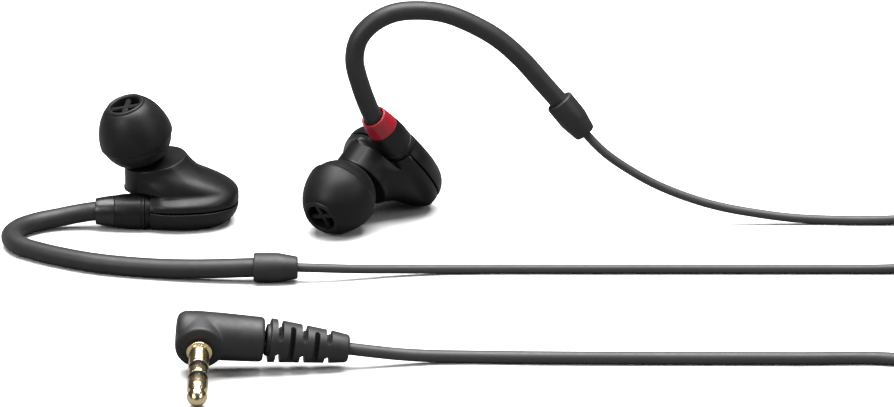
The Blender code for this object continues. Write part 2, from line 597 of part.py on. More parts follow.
def build_plug(group, cutters):
    home = Matrix.Translation(HOME * MM)
    frame = home @ axis_frame(PLUG_FACE, PLUG_AXIS)
    body = [(0.0, 0.0), (BARREL_R - 0.35, 0.0), (BARREL_R, -0.35), (BARREL_R, -BARREL_LENGTH),
            (0.0, -BARREL_LENGTH)]
    barrel = turned("plug_body", body, "overmould_grey", group, None, frame, 24)
    root = PLUG_FACE - PLUG_AXIS * ELBOW_DEPTH
    along = (RELIEF_END - ARM_END).normalized()
    arm_axis = (ARM_END - root).normalized()
    reach = (ARM_END - root).length
    arm = turned("plug_arm", [(0.0, reach), (3.6, reach), (3.9, reach - 0.4), (4.15, 3.5), (4.2, 0.0),
                              (4.1, -2.9), (3.5, -3.9), (2.6, -4.2), (0.0, -4.3)], None, cutters,
                 None, home @ axis_frame(root, arm_axis), 24)
    make_cutter(arm, cutters)
    cut(barrel, [arm], "UNION")
    wire = turned("plug_wire_cut", rod_profile(1.5, reach - 2.4, reach + 2.0), None, cutters,
                  None, home @ axis_frame(root, arm_axis), 14)
    pocket = turned("plug_pin_cut", [(0.0, 1.0), (2.5, 1.0), (2.5, -0.15), (1.6, -0.15),
                                     (1.6, -3.0), (0.0, -3.0)], None, cutters, None, frame, 16)
    cut(barrel, [make_cutter(wire, cutters), make_cutter(pocket, cutters)])

    length = (RELIEF_END - ARM_END).length
    relief_frame = home @ axis_frame(ARM_END, along)
    bore = MAIN_CABLE_R + GAP
    sleeve = [(bore, length), (2.2, length), (2.45, length - 0.35), (2.8, length - 2.8),
              (3.85, 0.95), (2.8, 0.95), (2.8, GAP), (bore, GAP)]
    relief = turned("strain_relief", sleeve, "overmould_grey", group, None, relief_frame, 20, True)
    for index in range(5):
        spot = 2.55 + 2.13 * index
        centre = relief_frame @ Matrix.Translation((0.0, 0.0, spot * MM))
        upright = index % 2 == 0
        for sign in (-1, 1):
            offset = Vector((0.0, sign * 3.0, 0.0)) if upright else Vector((sign * 3.0, 0.0, 0.0))
            size = (8.0, 3.6, 0.95) if upright else (3.6, 8.0, 0.95)
            slot = block("relief_slot_%d_%d" % (index, sign + 1), size, cutters,
                         centre @ Matrix.Translation(offset * MM))
            cut(relief, [slot])

    rod, hole = 0.45, 0.8
    turned("plug_sleeve", [(hole, 5.1), (SHAFT_R, 5.1), (SHAFT_R, 0.95), (2.2, 0.95), (2.2, 0.3),
                           (1.3, 0.3), (1.3, -2.2), (hole, -2.2)], "gold", group, None, frame, 16,
           True)
    turned("plug_insulator_rear", ring_profile(hole, SHAFT_R - 0.08, 5.4, 5.9), "insulator_black",
           group, None, frame, 16, True)
    turned("plug_ring", ring_profile(hole, SHAFT_R, 6.2, 8.0), "gold", group, None, frame, 16, True)
    turned("plug_insulator_front", ring_profile(hole, SHAFT_R - 0.08, 8.3, 8.8), "insulator_black",
           group, None, frame, 16, True)
    turned("plug_tip", [(0.0, 15.0), (0.6, 14.9), (1.25, 14.3), (SHAFT_R, 13.3), (1.2, 12.5),
                        (1.6, 11.7), (SHAFT_R, 11.4), (SHAFT_R, 9.1), (rod, 9.1), (rod, -2.4),
                        (0.0, -2.4)], "gold", group, None, frame, 16)


def main():
    clear_scene()
    parts = new_collection("in_ear_monitors")
    cutters = new_collection("cutters")
    home = Matrix.Translation(HOME * MM)

    right_z = RIGHT_X.cross(RIGHT_Y).normalized()
    right_y = right_z.cross(RIGHT_X).normalized()
    turn = Matrix((RIGHT_X.normalized(), right_y, right_z)).transposed().to_4x4()
    socket = Vector((0.0, 0.0, AXIS_Z))
    right_place = home @ Matrix.Translation(RIGHT_SOCKET * MM) @ turn @ Matrix.Translation(
        -socket * MM)
    out = -RIGHT_X.normalized()
    right_route = [RIGHT_SOCKET + out * HOOK_START, RIGHT_SOCKET + out * CONNECTOR_LENGTH]
    right_route += [Vector(p) for p in RIGHT_HOOK_REST]

    sides = (("left", 1, home, socket, Vector((-1.0, 0.0, 0.0)), LEFT_HOOK, LEFT_FERRULE, "id_black"),
             ("right", -1, right_place, RIGHT_SOCKET, out, right_route, RIGHT_FERRULE, "id_red"))
    for label, side, place, joint, cable_way, route, ferrule, colour in sides:
        empty = bpy.data.objects.new(label + "_earpiece", None)
        parts.objects.link(empty)
        empty.matrix_world = place
        build_housing(label, side, empty, parts, cutters)
        build_nozzle(label, side, empty, parts, cutters)
        build_driver(label, side, empty, parts)
        build_socket(label, side, empty, parts)
        build_connector(label, colour, home @ axis_frame(joint, cable_way), parts)
        build_hook(label, route, ferrule, parts)

    cord("left_lead", LEFT_LEAD, EAR_CABLE_R, 5.0, "cable_grey", parts)
    cord("right_lead", RIGHT_LEAD, EAR_CABLE_R, 4.0, "cable_grey", parts)
    cord("left_tail", LEFT_TAIL, EAR_CABLE_R, 3.0, "cable_grey", parts)
    cord("right_tail", RIGHT_TAIL, EAR_CABLE_R, 3.0, "cable_grey", parts)
    cord("main_run", MAIN_RUN, MAIN_CABLE_R, 5.0, "cable_grey", parts)
    cord("main_tail", MAIN_TAIL, MAIN_CABLE_R, 2.0, "cable_grey", parts)
    build_coil("main_coil", MAIN_COIL, parts)
    build_coil("left_coil", LEFT_COIL, parts)
    build_coil("right_coil", RIGHT_COIL, parts)
    build_tie("main_tie", MAIN_COIL, 200.0, parts)
    build_tie("left_tie", LEFT_COIL, 215.0, parts)
    build_tie("right_tie", RIGHT_COIL, 200.0, parts)
    build_line_pieces(parts)
    build_plug(parts, cutters)
    bpy.context.view_layer.update()


main()
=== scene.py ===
"""In ear monitors: finished surfaces, materials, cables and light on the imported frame.

Lengths are in millimetres from HOME, the point on the floor under the left earpiece's
socket, and become metres where a mesh or a curve is made.
"""
import json
import math

import bmesh
import bpy
from mathutils import Matrix, Vector, noise


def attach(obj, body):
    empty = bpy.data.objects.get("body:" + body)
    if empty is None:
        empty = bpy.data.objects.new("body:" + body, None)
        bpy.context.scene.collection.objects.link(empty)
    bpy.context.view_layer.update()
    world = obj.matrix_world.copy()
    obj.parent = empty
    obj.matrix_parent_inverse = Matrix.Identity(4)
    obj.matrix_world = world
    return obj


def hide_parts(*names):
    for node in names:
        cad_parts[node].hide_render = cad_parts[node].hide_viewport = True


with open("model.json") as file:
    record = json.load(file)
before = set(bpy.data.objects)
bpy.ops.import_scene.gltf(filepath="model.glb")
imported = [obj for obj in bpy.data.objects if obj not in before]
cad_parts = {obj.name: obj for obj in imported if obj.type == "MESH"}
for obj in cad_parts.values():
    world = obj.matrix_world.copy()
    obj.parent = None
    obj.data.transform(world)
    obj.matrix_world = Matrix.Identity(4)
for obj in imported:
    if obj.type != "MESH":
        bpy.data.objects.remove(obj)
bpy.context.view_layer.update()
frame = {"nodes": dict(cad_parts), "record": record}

MM = 0.001
HOME = Vector((-27.31, 6.01, 0.0))
HOME_FRAME = Matrix.Translation(HOME * MM)

# Camera.
CAMERA_SPOT = Vector((54.495, -1085.883, 378.654))
CAMERA_TILT = 71.0
CAMERA_LENS = 252.38

# Cables and their coils. Each route runs lead, coil, tail, and ends at the split.
EAR_CABLE_R = 0.825
MAIN_CABLE_R = 1.1
LEFT_LEAD = [
    (24.2, -29.2, 2.7), (27.8, -29.2, 2.7), (32.0, -29.0, 2.5), (38.0, -27.9, 1.95),
    (45.0, -26.3, 1.35), (53.0, -25.2, 0.98), (62.0, -24.8, 0.87), (80.0, -24.8, 0.87),
    (100.0, -24.8, 0.87), (120.0, -24.8, 0.87), (134.5, -24.8, 0.95), (143.5, -24.8, 1.65)]
RIGHT_LEAD = [
    (77.57, 2.2, 20.42), (79.8, 2.2, 17.6), (83.3, 2.2, 13.9), (87.2, 2.2, 11.0), (92.6, 2.2, 7.8),
    (98.7, 2.2, 5.2), (104.6, 2.2, 3.4), (112.0, 2.2, 2.0), (118.0, 2.2, 1.2), (124.0, 2.2, 0.87),
    (130.0, 1.9, 0.87), (136.5, 1.9, 1.0), (143.8, 1.9, 1.65)]
MAIN_RUN = [
    (23.9, -74.6, 5.62), (27.5, -74.3, 5.09), (31.0, -73.98, 4.57), (37.5, -73.4, 3.6),
    (41.8, -72.7, 2.8), (46.6, -71.8, 1.95), (52.0, -71.0, 1.36), (58.0, -70.7, 1.14),
    (67.0, -71.0, 1.13), (82.0, -71.3, 1.13), (98.0, -71.4, 1.13), (115.0, -71.5, 1.13),
    (131.5, -71.8, 1.13), (139.5, -76.3, 1.45), (147.2, -79.9, 1.9)]
LEFT_TAIL = [
    (156.9, -24.8, 3.8), (160.3, -23.9, 2.7), (164.1, -20.9, 1.5), (166.3, -15.6, 0.95),
    (167.0, -10.2, 0.87), (167.3, -5.4, 0.87), (168.5, -2.5, 0.87), (171.0, -1.3, 0.87),
    (173.5, -2.5, 0.9), (174.7, -5.4, 1.1), (174.8, -9.0, 1.6), (174.8, -14.0, 1.9),
    (174.8, -20.0, 1.9), (174.8, -29.0, 1.9), (174.8, -37.7, 1.9)]
RIGHT_TAIL = [
    (159.2, 1.6, 3.2), (164.0, 1.5, 2.1), (169.0, 1.1, 1.2), (173.5, 0.0, 0.9), (176.3, -2.9, 0.95),
    (177.2, -6.4, 1.3), (177.2, -10.0, 1.7), (177.2, -14.0, 1.9), (177.2, -20.0, 1.9),
    (177.2, -29.0, 1.9), (177.2, -37.7, 1.9)]
MAIN_TAIL = [(176.0, -53.0, 3.8), (176.0, -51.6, 3.2), (176.0, -50.3, 2.7)]
# Where each ear cable comes off the top of its coil.
LEFT_LIFT_OFF = (153.2, -24.8, 4.95)
RIGHT_LIFT_OFF = (154.8, 2.2, 3.9)
# Centres of the coils, radius of each one's first turn, and gap below them for the ties.
MAIN_COIL = Vector((158.4, -62.9, 0.0))
LEFT_COIL = Vector((150.0, -34.3, 0.0))
RIGHT_COIL = Vector((151.0, -8.4, 0.0))
MAIN_COIL_R = 17.6
LEFT_COIL_R = 9.5
RIGHT_COIL_R = 10.3
COIL_LIFT = 0.9

# Ties round the coils: centre, inner and outer radius and height of the coil, angle round it.
TIES = {
    "main": (MAIN_COIL, 7.7, 18.7, 4.4, 200.0),
    "left": (LEFT_COIL, 8.65, 10.35, 3.3, 215.0),
    "right": (RIGHT_COIL, 7.9, 11.15, 3.1, 200.0)}
TIE_WIDTH = 3.4
TIE_THICK = 0.5
TIE_SLACK = 0.28
TIE_LAP = 0.10
TIE_POWER = 0.45

# Ear hooks and the ferrules at their ends.
HOOK_R = 1.75
HOOK_BORE = 1.15
HOOK_START = 7.2
HOOK_SIDES = 40
CONNECTOR_LENGTH = 9.9
FERRULE_LENGTH = 7.9
LEFT_HOOK = [
    (-7.2, 0.0, 3.3), (-9.9, 0.0, 3.3), (-13.2, 0.0, 2.8), (-16.7, -0.4, 2.2), (-20.5, -1.9, 1.9),
    (-23.6, -5.0, 1.8), (-24.9, -9.6, 1.8), (-23.3, -14.3, 1.8), (-19.4, -17.9, 1.8),
    (-14.9, -20.9, 1.8), (-9.3, -23.8, 1.8), (-3.6, -25.7, 1.8), (2.7, -27.1, 1.85),
    (9.0, -28.2, 2.1), (15.0, -28.9, 2.45), (19.9, -29.2, 2.7), (23.9, -29.2, 2.7)]
RIGHT_HOOK_REST = [
    (38.6, -1.2, 28.4), (37.7, -1.7, 33.0), (38.5, -1.6, 36.8), (40.9, -1.2, 39.6),
    (44.7, -0.8, 41.5), (49.2, -0.4, 41.9), (54.5, 0.0, 41.1), (60.5, 0.5, 38.3), (64.3, 0.9, 35.7),
    (68.3, 1.4, 31.8), (72.0, 1.9, 27.3), (74.9, 2.2, 23.8), (77.38, 2.2, 20.66)]
LEFT_FERRULE = (Vector((19.9, -29.2, 2.7)), Vector((1.0, 0.0, 0.0)))
RIGHT_FERRULE = (Vector((74.9, 2.2, 23.8)), Vector((0.62, 0.0, -0.785)))

# Earpiece, in its own frame: socket axis along X at AXIS_Z, faceplate down, ear side up.
AXIS_Z = 3.3
SEAM_Z = 4.0
SEAM_GAP = 0.3
WALL = 0.9
SOCKET_EDGE_R = 3.3
PORT_R = 2.95
PORT_ENDS = (-1.0, 5.6)
PLATFORM_CENTRE = Vector((1.0, 4.3, 11.9))
PLATFORM_R = 5.7
PLATFORM_SLOPE = (0.15, 0.10)
TILT_START = 9.5
NOZZLE_BASE = Vector((-1.1, 3.9, 12.0))
NOZZLE_AXIS = Vector((-0.266, -0.186, 0.946)).normalized()
CROSS_HEIGHT = 11.1
CROSS_BAR = (5.8, 0.95, 0.8)
RING_SAMPLES = 160
FLAT_SAMPLES = 32
# The outlines at the seam and on the flat, from one side of the socket round to the other.
SEAM_OUTLINE = [
    (0.2, -3.2), (3.0, -4.1), (7.0, -4.1), (11.5, -3.0), (14.9, -0.4), (16.2, 3.6), (15.4, 8.4),
    (12.2, 12.6), (7.4, 15.0), (2.4, 14.4), (-0.9, 11.2), (-2.4, 7.4), (-2.0, 4.4), (0.2, 3.2)]
FLAT_OUTLINE = [
    (0.2, -0.4), (3.0, -0.6), (7.0, -0.6), (10.2, 0.4), (11.6, 2.0), (12.0, 4.6), (11.2, 7.6),
    (9.2, 9.8), (6.6, 10.8), (4.2, 10.2), (2.4, 8.4), (1.4, 6.2), (0.9, 3.6), (0.2, 0.4)]
# For each point of the seam outline: the heights between which it moves in to the platform's
# circle, and its angle there.
RISE = [
    (6.55, 6.95, 236), (5.2, 10.0, 262), (5.4, 11.5, 286), (5.6, 12.2, 310), (5.6, 12.2, 334),
    (5.6, 12.2, 357), (5.6, 12.2, 382), (5.6, 12.2, 408), (5.4, 12.2, 434), (5.0, 11.0, 460),
    (4.4, 9.0, 486), (4.0, 7.0, 512), (4.0, 6.0, 538), (6.55, 6.95, 562)]
# The hollow beside the socket, as parts of its depth at these points of the seam outline.
CREASE = {1: 1.0, 2: 1.0, 3: 0.8, 4: 0.2}
CREASE_DEPTH = 1.7
CREASE_SPAN = (4.9, 7.1)
# The right earpiece is the left one's mirror image, turned so that these are its X and Y.
RIGHT_X = Vector((0.470, 0.459, -0.753)).normalized()
RIGHT_Y = Vector((0.693, -0.721, -0.007))
RIGHT_SOCKET = Vector((45.66, 4.86, 13.97))

# Plug.
PLUG_FACE = Vector((12.1, -79.2, 5.57))
PLUG_AXIS = Vector((0.0, -0.956, -0.292)).normalized()
BARREL_R = 4.25
BARREL_LENGTH = 4.3
ELBOW_DEPTH = 4.1
SHAFT_R = 1.75
INSULATOR_R = SHAFT_R - 0.06
PIN_R = 0.8
ROD_R = 0.45
ARM_END = Vector((23.0, -74.7, 5.75))
RELIEF_END = Vector((37.5, -73.4, 3.6))
RELIEF_GAP = 0.3
SLOT_COUNT = 5
SLOT_START = 2.55
SLOT_PITCH = 2.13
SLOT_REACH = 3.0
SLOT_SIZE = (8.0, 3.6, 0.95)

# Pieces along the pair of ear leads.
LINE_X = 176.0
LEAD_SPREAD = 1.2
LEAD_Z = 1.9
SPLIT_ENDS = (-50.0, -38.0)
SLIDER_ENDS = (-36.0, -28.0)


# ---------------------------------------------------------------- materials

class Nodes:
    """Adds shader nodes to one material and links them."""

    def __init__(self, mat):
        mat.use_nodes = True
        self.tree = mat.node_tree
        self.shader = self.tree.nodes["Principled BSDF"]
        self.coords = self.tree.nodes.new("ShaderNodeTexCoord").outputs["Object"]

    def add(self, kind, **inputs):
        node = self.tree.nodes.new(kind)
        for name, value in inputs.items():
            socket = node.inputs[name.replace("_", " ")]
            if isinstance(value, bpy.types.NodeSocket):
                self.tree.links.new(value, socket)
            else:
                socket.default_value = value
        return node

    def noise(self, scale, detail=4.0, roughness=0.55):
        return self.add("ShaderNodeTexNoise", Vector=self.coords, Scale=scale, Detail=detail,
                        Roughness=roughness).outputs["Fac"]

    def ramp(self, value, low, high, start=0.3, end=0.7):
        """Maps a grey value to a range of grey or of colour."""
        node = self.add("ShaderNodeValToRGB", Fac=value)
        stops = node.color_ramp.elements
        stops[0].position, stops[1].position = start, end
        for stop, tone in zip(stops, (low, high)):
            stop.color = (*tone, 1.0) if isinstance(tone, tuple) else (tone, tone, tone, 1.0)
        return node.outputs["Color"]

    def bump(self, height, strength, distance, below=None):
        """Relief over the whole surface, laid on another relief if there is one."""
        node = self.add("ShaderNodeBump", Height=height, Strength=strength, Distance=distance)
        if below is not None:
            self.tree.links.new(below, node.inputs["Normal"])
        return node.outputs["Normal"]

    def link(self, output, name):
        self.tree.links.new(output, self.shader.inputs[name])


def moulded(name, colour, rough, grain, strength, spread=0.25, specular=0.5, coat=0.0, sheen=0.0,
            subsurface=0.0):
    """Moulded plastic or rubber: a fine pitted grain, faint flow marks, uneven gloss."""
    mat = bpy.data.materials.new(name)
    make = Nodes(mat)
    low = tuple(c * (1 - spread) for c in colour)
    high = tuple(min(1.0, c * (1 + spread)) for c in colour)
    make.link(make.ramp(make.noise(170.0, 3.0), low, high), "Base Color")
    make.link(make.ramp(make.noise(420.0, 5.0), rough[0], rough[1]), "Roughness")
    flow = make.bump(make.noise(95.0, 2.0), 0.05, 0.0004)
    pits = make.bump(make.noise(grain, 3.0, 0.6), strength, 0.00003, flow)
    make.link(pits, "Normal")
    shader = make.shader.inputs
    shader["Specular IOR Level"].default_value = specular
    shader["Coat Weight"].default_value = coat
    shader["Coat Roughness"].default_value = 0.12
    shader["Sheen Weight"].default_value = sheen
    shader["Sheen Roughness"].default_value = 0.4
    shader["Subsurface Weight"].default_value = subsurface
    shader["Subsurface Scale"].default_value = 0.0006
    return mat


def jacket(name, colour, rough):
    """Extruded cable jacket: lengthwise streaks and a soft powdery grain."""
    mat = bpy.data.materials.new(name)
    make = Nodes(mat)
    stretched = make.add("ShaderNodeMapping", Vector=make.coords)
    stretched.inputs["Scale"].default_value = (60.0, 420.0, 420.0)
    streaks = make.add("ShaderNodeTexNoise", Vector=stretched.outputs["Vector"], Scale=1.0,
                       Detail=4.0).outputs["Fac"]
    low = tuple(c * 0.82 for c in colour)
    high = tuple(c * 1.16 for c in colour)
    make.link(make.ramp(streaks, low, high), "Base Color")
    make.link(make.ramp(make.noise(900.0, 4.0), rough[0], rough[1]), "Roughness")
    make.link(make.bump(make.noise(5200.0, 3.0), 0.16, 0.00002), "Normal")
    make.shader.inputs["Specular IOR Level"].default_value = 0.42
    make.shader.inputs["Sheen Weight"].default_value = 0.08
    return mat


def metal(name, colour, rough, grain=2600.0, strength=0.10):
    """Machined metal: faint tool marks, uneven gloss and a tarnish that varies slowly."""
    mat = bpy.data.materials.new(name)
    make = Nodes(mat)
    low = tuple(c * 0.86 for c in colour)
    make.link(make.ramp(make.noise(260.0, 5.0), low, colour), "Base Color")
    make.link(make.ramp(make.noise(1100.0, 6.0), rough[0], rough[1]), "Roughness")
    marks = make.add("ShaderNodeTexNoise", Vector=make.coords, Scale=grain, Detail=2.0)
    make.link(make.bump(marks.outputs["Fac"], strength, 0.00001), "Normal")
    make.shader.inputs["Metallic"].default_value = 1.0
    return mat


def film(name):
    """Thin amber film that lets some light through."""
    mat = bpy.data.materials.new(name)
    make = Nodes(mat)
    low, high = (0.42, 0.36, 0.27), (0.62, 0.56, 0.45)
    make.link(make.ramp(make.noise(700.0, 3.0), low, high), "Base Color")
    make.link(make.ramp(make.noise(1500.0), 0.22, 0.38), "Roughness")
    make.shader.inputs["Transmission Weight"].default_value = 0.25
    return mat


FINISH = {
    "housing_black": moulded("housing_black", (0.0060, 0.0060, 0.0066), (0.37, 0.47), 3800.0, 0.10,
                             specular=0.32, coat=0.03),
    "silicone_black": moulded("silicone_black", (0.0065, 0.0065, 0.0070), (0.40, 0.52), 2600.0,
                              0.16, specular=0.27, sheen=0.03, subsurface=0.03),
    "hook_grey": moulded("hook_grey", (0.0160, 0.0162, 0.0168), (0.44, 0.56), 3400.0, 0.22,
                         specular=0.45, sheen=0.06),
    "cable_grey": jacket("cable_grey", (0.040, 0.0405, 0.0425), (0.42, 0.54)),
    "id_black": moulded("id_black", (0.010, 0.010, 0.011), (0.30, 0.40), 3600.0, 0.10, coat=0.1),
    "id_red": moulded("id_red", (0.36, 0.010, 0.022), (0.30, 0.42), 3600.0, 0.10, spread=0.10,
                      coat=0.15, subsurface=0.05),
    "overmould_grey": moulded("overmould_grey", (0.0155, 0.0155, 0.0162), (0.44, 0.58), 2900.0, 0.30,
                              specular=0.45),
    "gold": metal("gold", (1.0, 0.82, 0.50), (0.14, 0.24)),
    "steel": metal("steel", (0.60, 0.60, 0.62), (0.22, 0.34)),
    "magnet": metal("magnet", (0.40, 0.40, 0.42), (0.25, 0.40)),
    "copper": metal("copper", (0.72, 0.33, 0.17), (0.30, 0.42), 6000.0, 0.4),
    "film": film("film"),
    "insulator_black": moulded("insulator_black", (0.003, 0.003, 0.003), (0.45, 0.55), 4200.0, 0.08,
                               specular=0.15),
}


# ---------------------------------------------------------------- shapes

def added(name, data):
    """A new object in the scene."""
    obj = bpy.data.objects.new(name, data)
    bpy.context.scene.collection.objects.link(obj)
    return obj


def axis_frame(point, direction):
    """A frame at a point with its Z along the direction."""
    turn = Vector(direction).to_track_quat("Z", "Y").to_matrix().to_4x4()
    return Matrix.Translation(Vector(point) * MM) @ turn


def smooth_by_angle(mesh, angle=38.0):
    """Smooth shading, but sharp where faces meet at more than the angle."""
    mesh.shade_smooth()
    mesh.set_sharp_from_angle(angle=math.radians(angle))


def place(name, mesh, finish, body, nodes, where=None):
    """Adds a mesh as a piece that rides on a body and stands for its nodes."""
    obj = added(name, mesh)
    if where is not None:
        mesh.transform(where)
        if where.is_negative:
            mesh.flip_normals()
    mesh.materials.append(FINISH[finish])
    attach(obj, body)
    if nodes:
        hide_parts(*nodes)
    return obj


def as_mesh(name, shape, angle=38.0):
    """A mesh with its faces pointing outwards, sharp where they meet at more than the angle."""
    if shape.calc_volume(signed=True) < 0.0:
        bmesh.ops.reverse_faces(shape, faces=shape.faces)
    mesh = bpy.data.meshes.new(name)
    shape.to_mesh(mesh)
    shape.free()
    smooth_by_angle(mesh, angle)
    return mesh


def skin(rings, around=False):
    """A closed skin over rings of equal count, capped or closed round on itself."""
    shape = bmesh.new()
    rows = [[shape.verts.new(Vector(p) * MM) for p in ring] for ring in rings]
    pairs = list(zip(rows, rows[1:]))
    if around:
        pairs.append((rows[-1], rows[0]))
    else:
        shape.faces.new(rows[0])
        shape.faces.new(list(reversed(rows[-1])))
    count = len(rows[0])
    for low, high in pairs:
        for i in range(count):
            j = (i + 1) % count
            shape.faces.new((low[j], low[i], high[i], high[j]))
    return shape


def rounded(profile, radius, closed=True, steps=4):
    """The profile with a small curve for each corner off the axis that is a real bend."""
    points = [Vector(p) for p in profile]
    count = len(points)
    soft = []
    for i, corner in enumerate(points):
        at_end = not closed and i in (0, count - 1)
        if at_end or corner.x < 1e-6:
            soft.append(corner)
            continue
        back, ahead = points[i - 1] - corner, points[(i + 1) % count] - corner
        if back.angle(ahead) > math.radians(168.0):
            soft.append(corner)
            continue
        reach = min(radius, 0.42 * back.length, 0.42 * ahead.length)
        start, end = corner + back.normalized() * reach, corner + ahead.normalized() * reach
        for step in range(steps + 1):
            t = step / steps
            soft.append(start * (1 - t) ** 2 + corner * (2 * t * (1 - t)) + end * t * t)
    return soft


def turned(profile, count=72, closed=True):
    """A profile of (radius, height) points turned about Z."""
    shape = bmesh.new()
    columns = []
    for i in range(count):
        c, s = math.cos(2 * math.pi * i / count), math.sin(2 * math.pi * i / count)
        columns.append([shape.verts.new((r * c * MM, r * s * MM, h * MM)) for r, h in profile])
    size = len(profile)
    for i in range(count):
        here, there = columns[i], columns[(i + 1) % count]
        for k in range(size if closed else size - 1):
            n = (k + 1) % size
            shape.faces.new((here[k], there[k], there[n], here[n]))
    bmesh.ops.remove_doubles(shape, verts=shape.verts, dist=1e-7)
    bmesh.ops.dissolve_degenerate(shape, dist=1e-8, edges=shape.edges)
    return shape


def lathe(name, profile, finish, body, nodes, where, radius=0.15, closed=True):
    """A turned piece whose corners are rounded to the radius."""
    shape = turned(rounded(profile, radius, closed), closed=closed)
    return place(name, as_mesh(name, shape), finish, body, nodes, where)


def smooth_path(route, spacing):
    """Points at equal steps along a centripetal Catmull-Rom curve through the route."""
    route = [Vector(p) for p in route]
    ends = [route[0] * 2 - route[1]] + route + [route[-1] * 2 - route[-2]]
    fine, parts = [route[0]], 12
    for p0, p1, p2, p3 in zip(ends, ends[1:], ends[2:], ends[3:]):
        t1 = (p1 - p0).length ** 0.5
        t2 = t1 + (p2 - p1).length ** 0.5
        t3 = t2 + (p3 - p2).length ** 0.5
        for step in range(1, parts + 1):
            t = t1 + (t2 - t1) * step / parts
            a1 = p0 * (1 - t / t1) + p1 * (t / t1)
            a2 = p1 * ((t2 - t) / (t2 - t1)) + p2 * ((t - t1) / (t2 - t1))
            a3 = p2 * ((t3 - t) / (t3 - t2)) + p3 * ((t - t2) / (t3 - t2))
            b1 = a1 * ((t2 - t) / t2) + a2 * (t / t2)
            b2 = a2 * ((t3 - t) / (t3 - t1)) + a3 * ((t - t1) / (t3 - t1))
            fine.append(b1 * ((t2 - t) / (t2 - t1)) + b2 * ((t - t1) / (t2 - t1)))
    lengths = [0.0]
    for a, b in zip(fine, fine[1:]):
        lengths.append(lengths[-1] + (b - a).length)
    count = max(2, round(lengths[-1] / spacing))
    points, k = [], 0
    for i in range(count + 1):
        target = lengths[-1] * i / count
        while k < len(fine) - 2 and lengths[k + 1] < target:
            k += 1
        part = (target - lengths[k]) / max(lengths[k + 1] - lengths[k], 1e-9)
        points.append(fine[k].lerp(fine[k + 1], min(part, 1.0)))
    return points


def path_frames(points):
    """Axes across a path that don't twist along it."""
    tangents = []
    for i in range(len(points)):
        a, b = points[max(i - 1, 0)], points[min(i + 1, len(points) - 1)]
        tangents.append((b - a).normalized())
    across = tangents[0].orthogonal().normalized()
    frames = []
    for tangent in tangents:
        across = (across - tangent * across.dot(tangent)).normalized()
        frames.append((across, tangent.cross(across)))
    return frames


def tube_rings(points, radii, sides):
    """Circles across a path, with a radius for each point."""
    rings = []
    for point, radius, (u, v) in zip(points, radii, path_frames(points)):
        rings.append([point + (u * math.cos(2 * math.pi * k / sides)
                               + v * math.sin(2 * math.pi * k / sides)) * radius
                      for k in range(sides)])
    return rings


def ease(value, low, high):
    """0 below the low value, 1 above the high one, and a smooth step between."""
    part = min(max((value - low) / (high - low), 0.0), 1.0)
    return part * part * (3.0 - 2.0 * part)


# ---------------------------------------------------------------- camera

eye = bpy.data.cameras.new("camera")
eye.lens = CAMERA_LENS
eye.sensor_width = 36.0
eye.clip_start = 0.05
eye.clip_end = 20.0
camera = added("camera", eye)
camera.location = (HOME + CAMERA_SPOT) * MM
camera.rotation_euler = (math.radians(CAMERA_TILT), 0.0, 0.0)
bpy.context.scene.camera = camera


# ---------------------------------------------------------------- cables

def winding(centre, start, way, turns, radius_at, height_at, per_turn=24):
    """Points round a coil from an angle in degrees; way is 1 seen from above anticlockwise."""
    points = []
    count = round(turns * per_turn)
    for i in range(count + 1):
        n = i / per_turn
        angle = math.radians(start) + way * 2 * math.pi * n
        radius = radius_at(n)
        points.append(Vector((centre.x + radius * math.cos(angle),
                              centre.y + radius * math.sin(angle), height_at(n))))
    return points


def main_radius(n):
    """Five turns wind in along the floor, then the rest wind out on top of them."""
    pitch = 2 * MAIN_CABLE_R
    if n < 4.7:
        return MAIN_COIL_R - pitch * sum(ease(n, k + 0.82, k + 0.95) for k in range(4))
    inner = MAIN_COIL_R - 4 * pitch
    return inner + pitch * sum(ease(n, k + 0.55, k + 0.68) for k in range(5, 9))


def main_height(n):
    """The cable climbs by its own width where it turns back outwards."""
    return COIL_LIFT + MAIN_CABLE_R * (1.0 + 2.0 * ease(n, 4.66, 4.80))


def left_radius(n):
    """The turns lie on one another."""
    return LEFT_COIL_R


def left_height(n):
    """Each turn climbs onto the one before it."""
    return COIL_LIFT + EAR_CABLE_R * (1.0 + 2.0 * ease(n, 0.84, 0.96) + 2.0 * ease(n, 1.72, 1.86))


def right_radius(n):
    """One turn, one inside it, and one above the two that ends on the outside."""
    return (RIGHT_COIL_R - 1.6 * ease(n, 0.90, 0.99) + 0.8 * ease(n, 1.84, 1.93)
            + 1.4 * ease(n, 2.74, 2.88))


def right_height(n):
    """Two turns lie side by side, and the third climbs into the groove between them."""
    return COIL_LIFT + EAR_CABLE_R + 1.45 * ease(n, 1.82, 1.91) + 0.95 * ease(n, 2.70, 2.86)


def cable(name, stretches, radius):
    """One open curve through every stretch of the route; gives its length and its start too."""
    points = [point for stretch in stretches for point in stretch]
    curve = bpy.data.curves.new(name, "CURVE")
    curve.dimensions = "3D"
    curve.bevel_depth = radius * MM
    curve.bevel_resolution = 6
    curve.use_fill_caps = True
    spline = curve.splines.new("POLY")
    spline.points.add(len(points) - 1)
    for spot, point in zip(spline.points, points):
        spot.co = (*((point + HOME) * MM), 1.0)
    spline.use_smooth = True
    curve.materials.append(FINISH["cable_grey"])
    obj = added(name, curve)
    length = sum((b - a).length for a, b in zip(points, points[1:])) * MM
    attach(obj, "harness")
    return obj, length, (points[0] + HOME) * MM


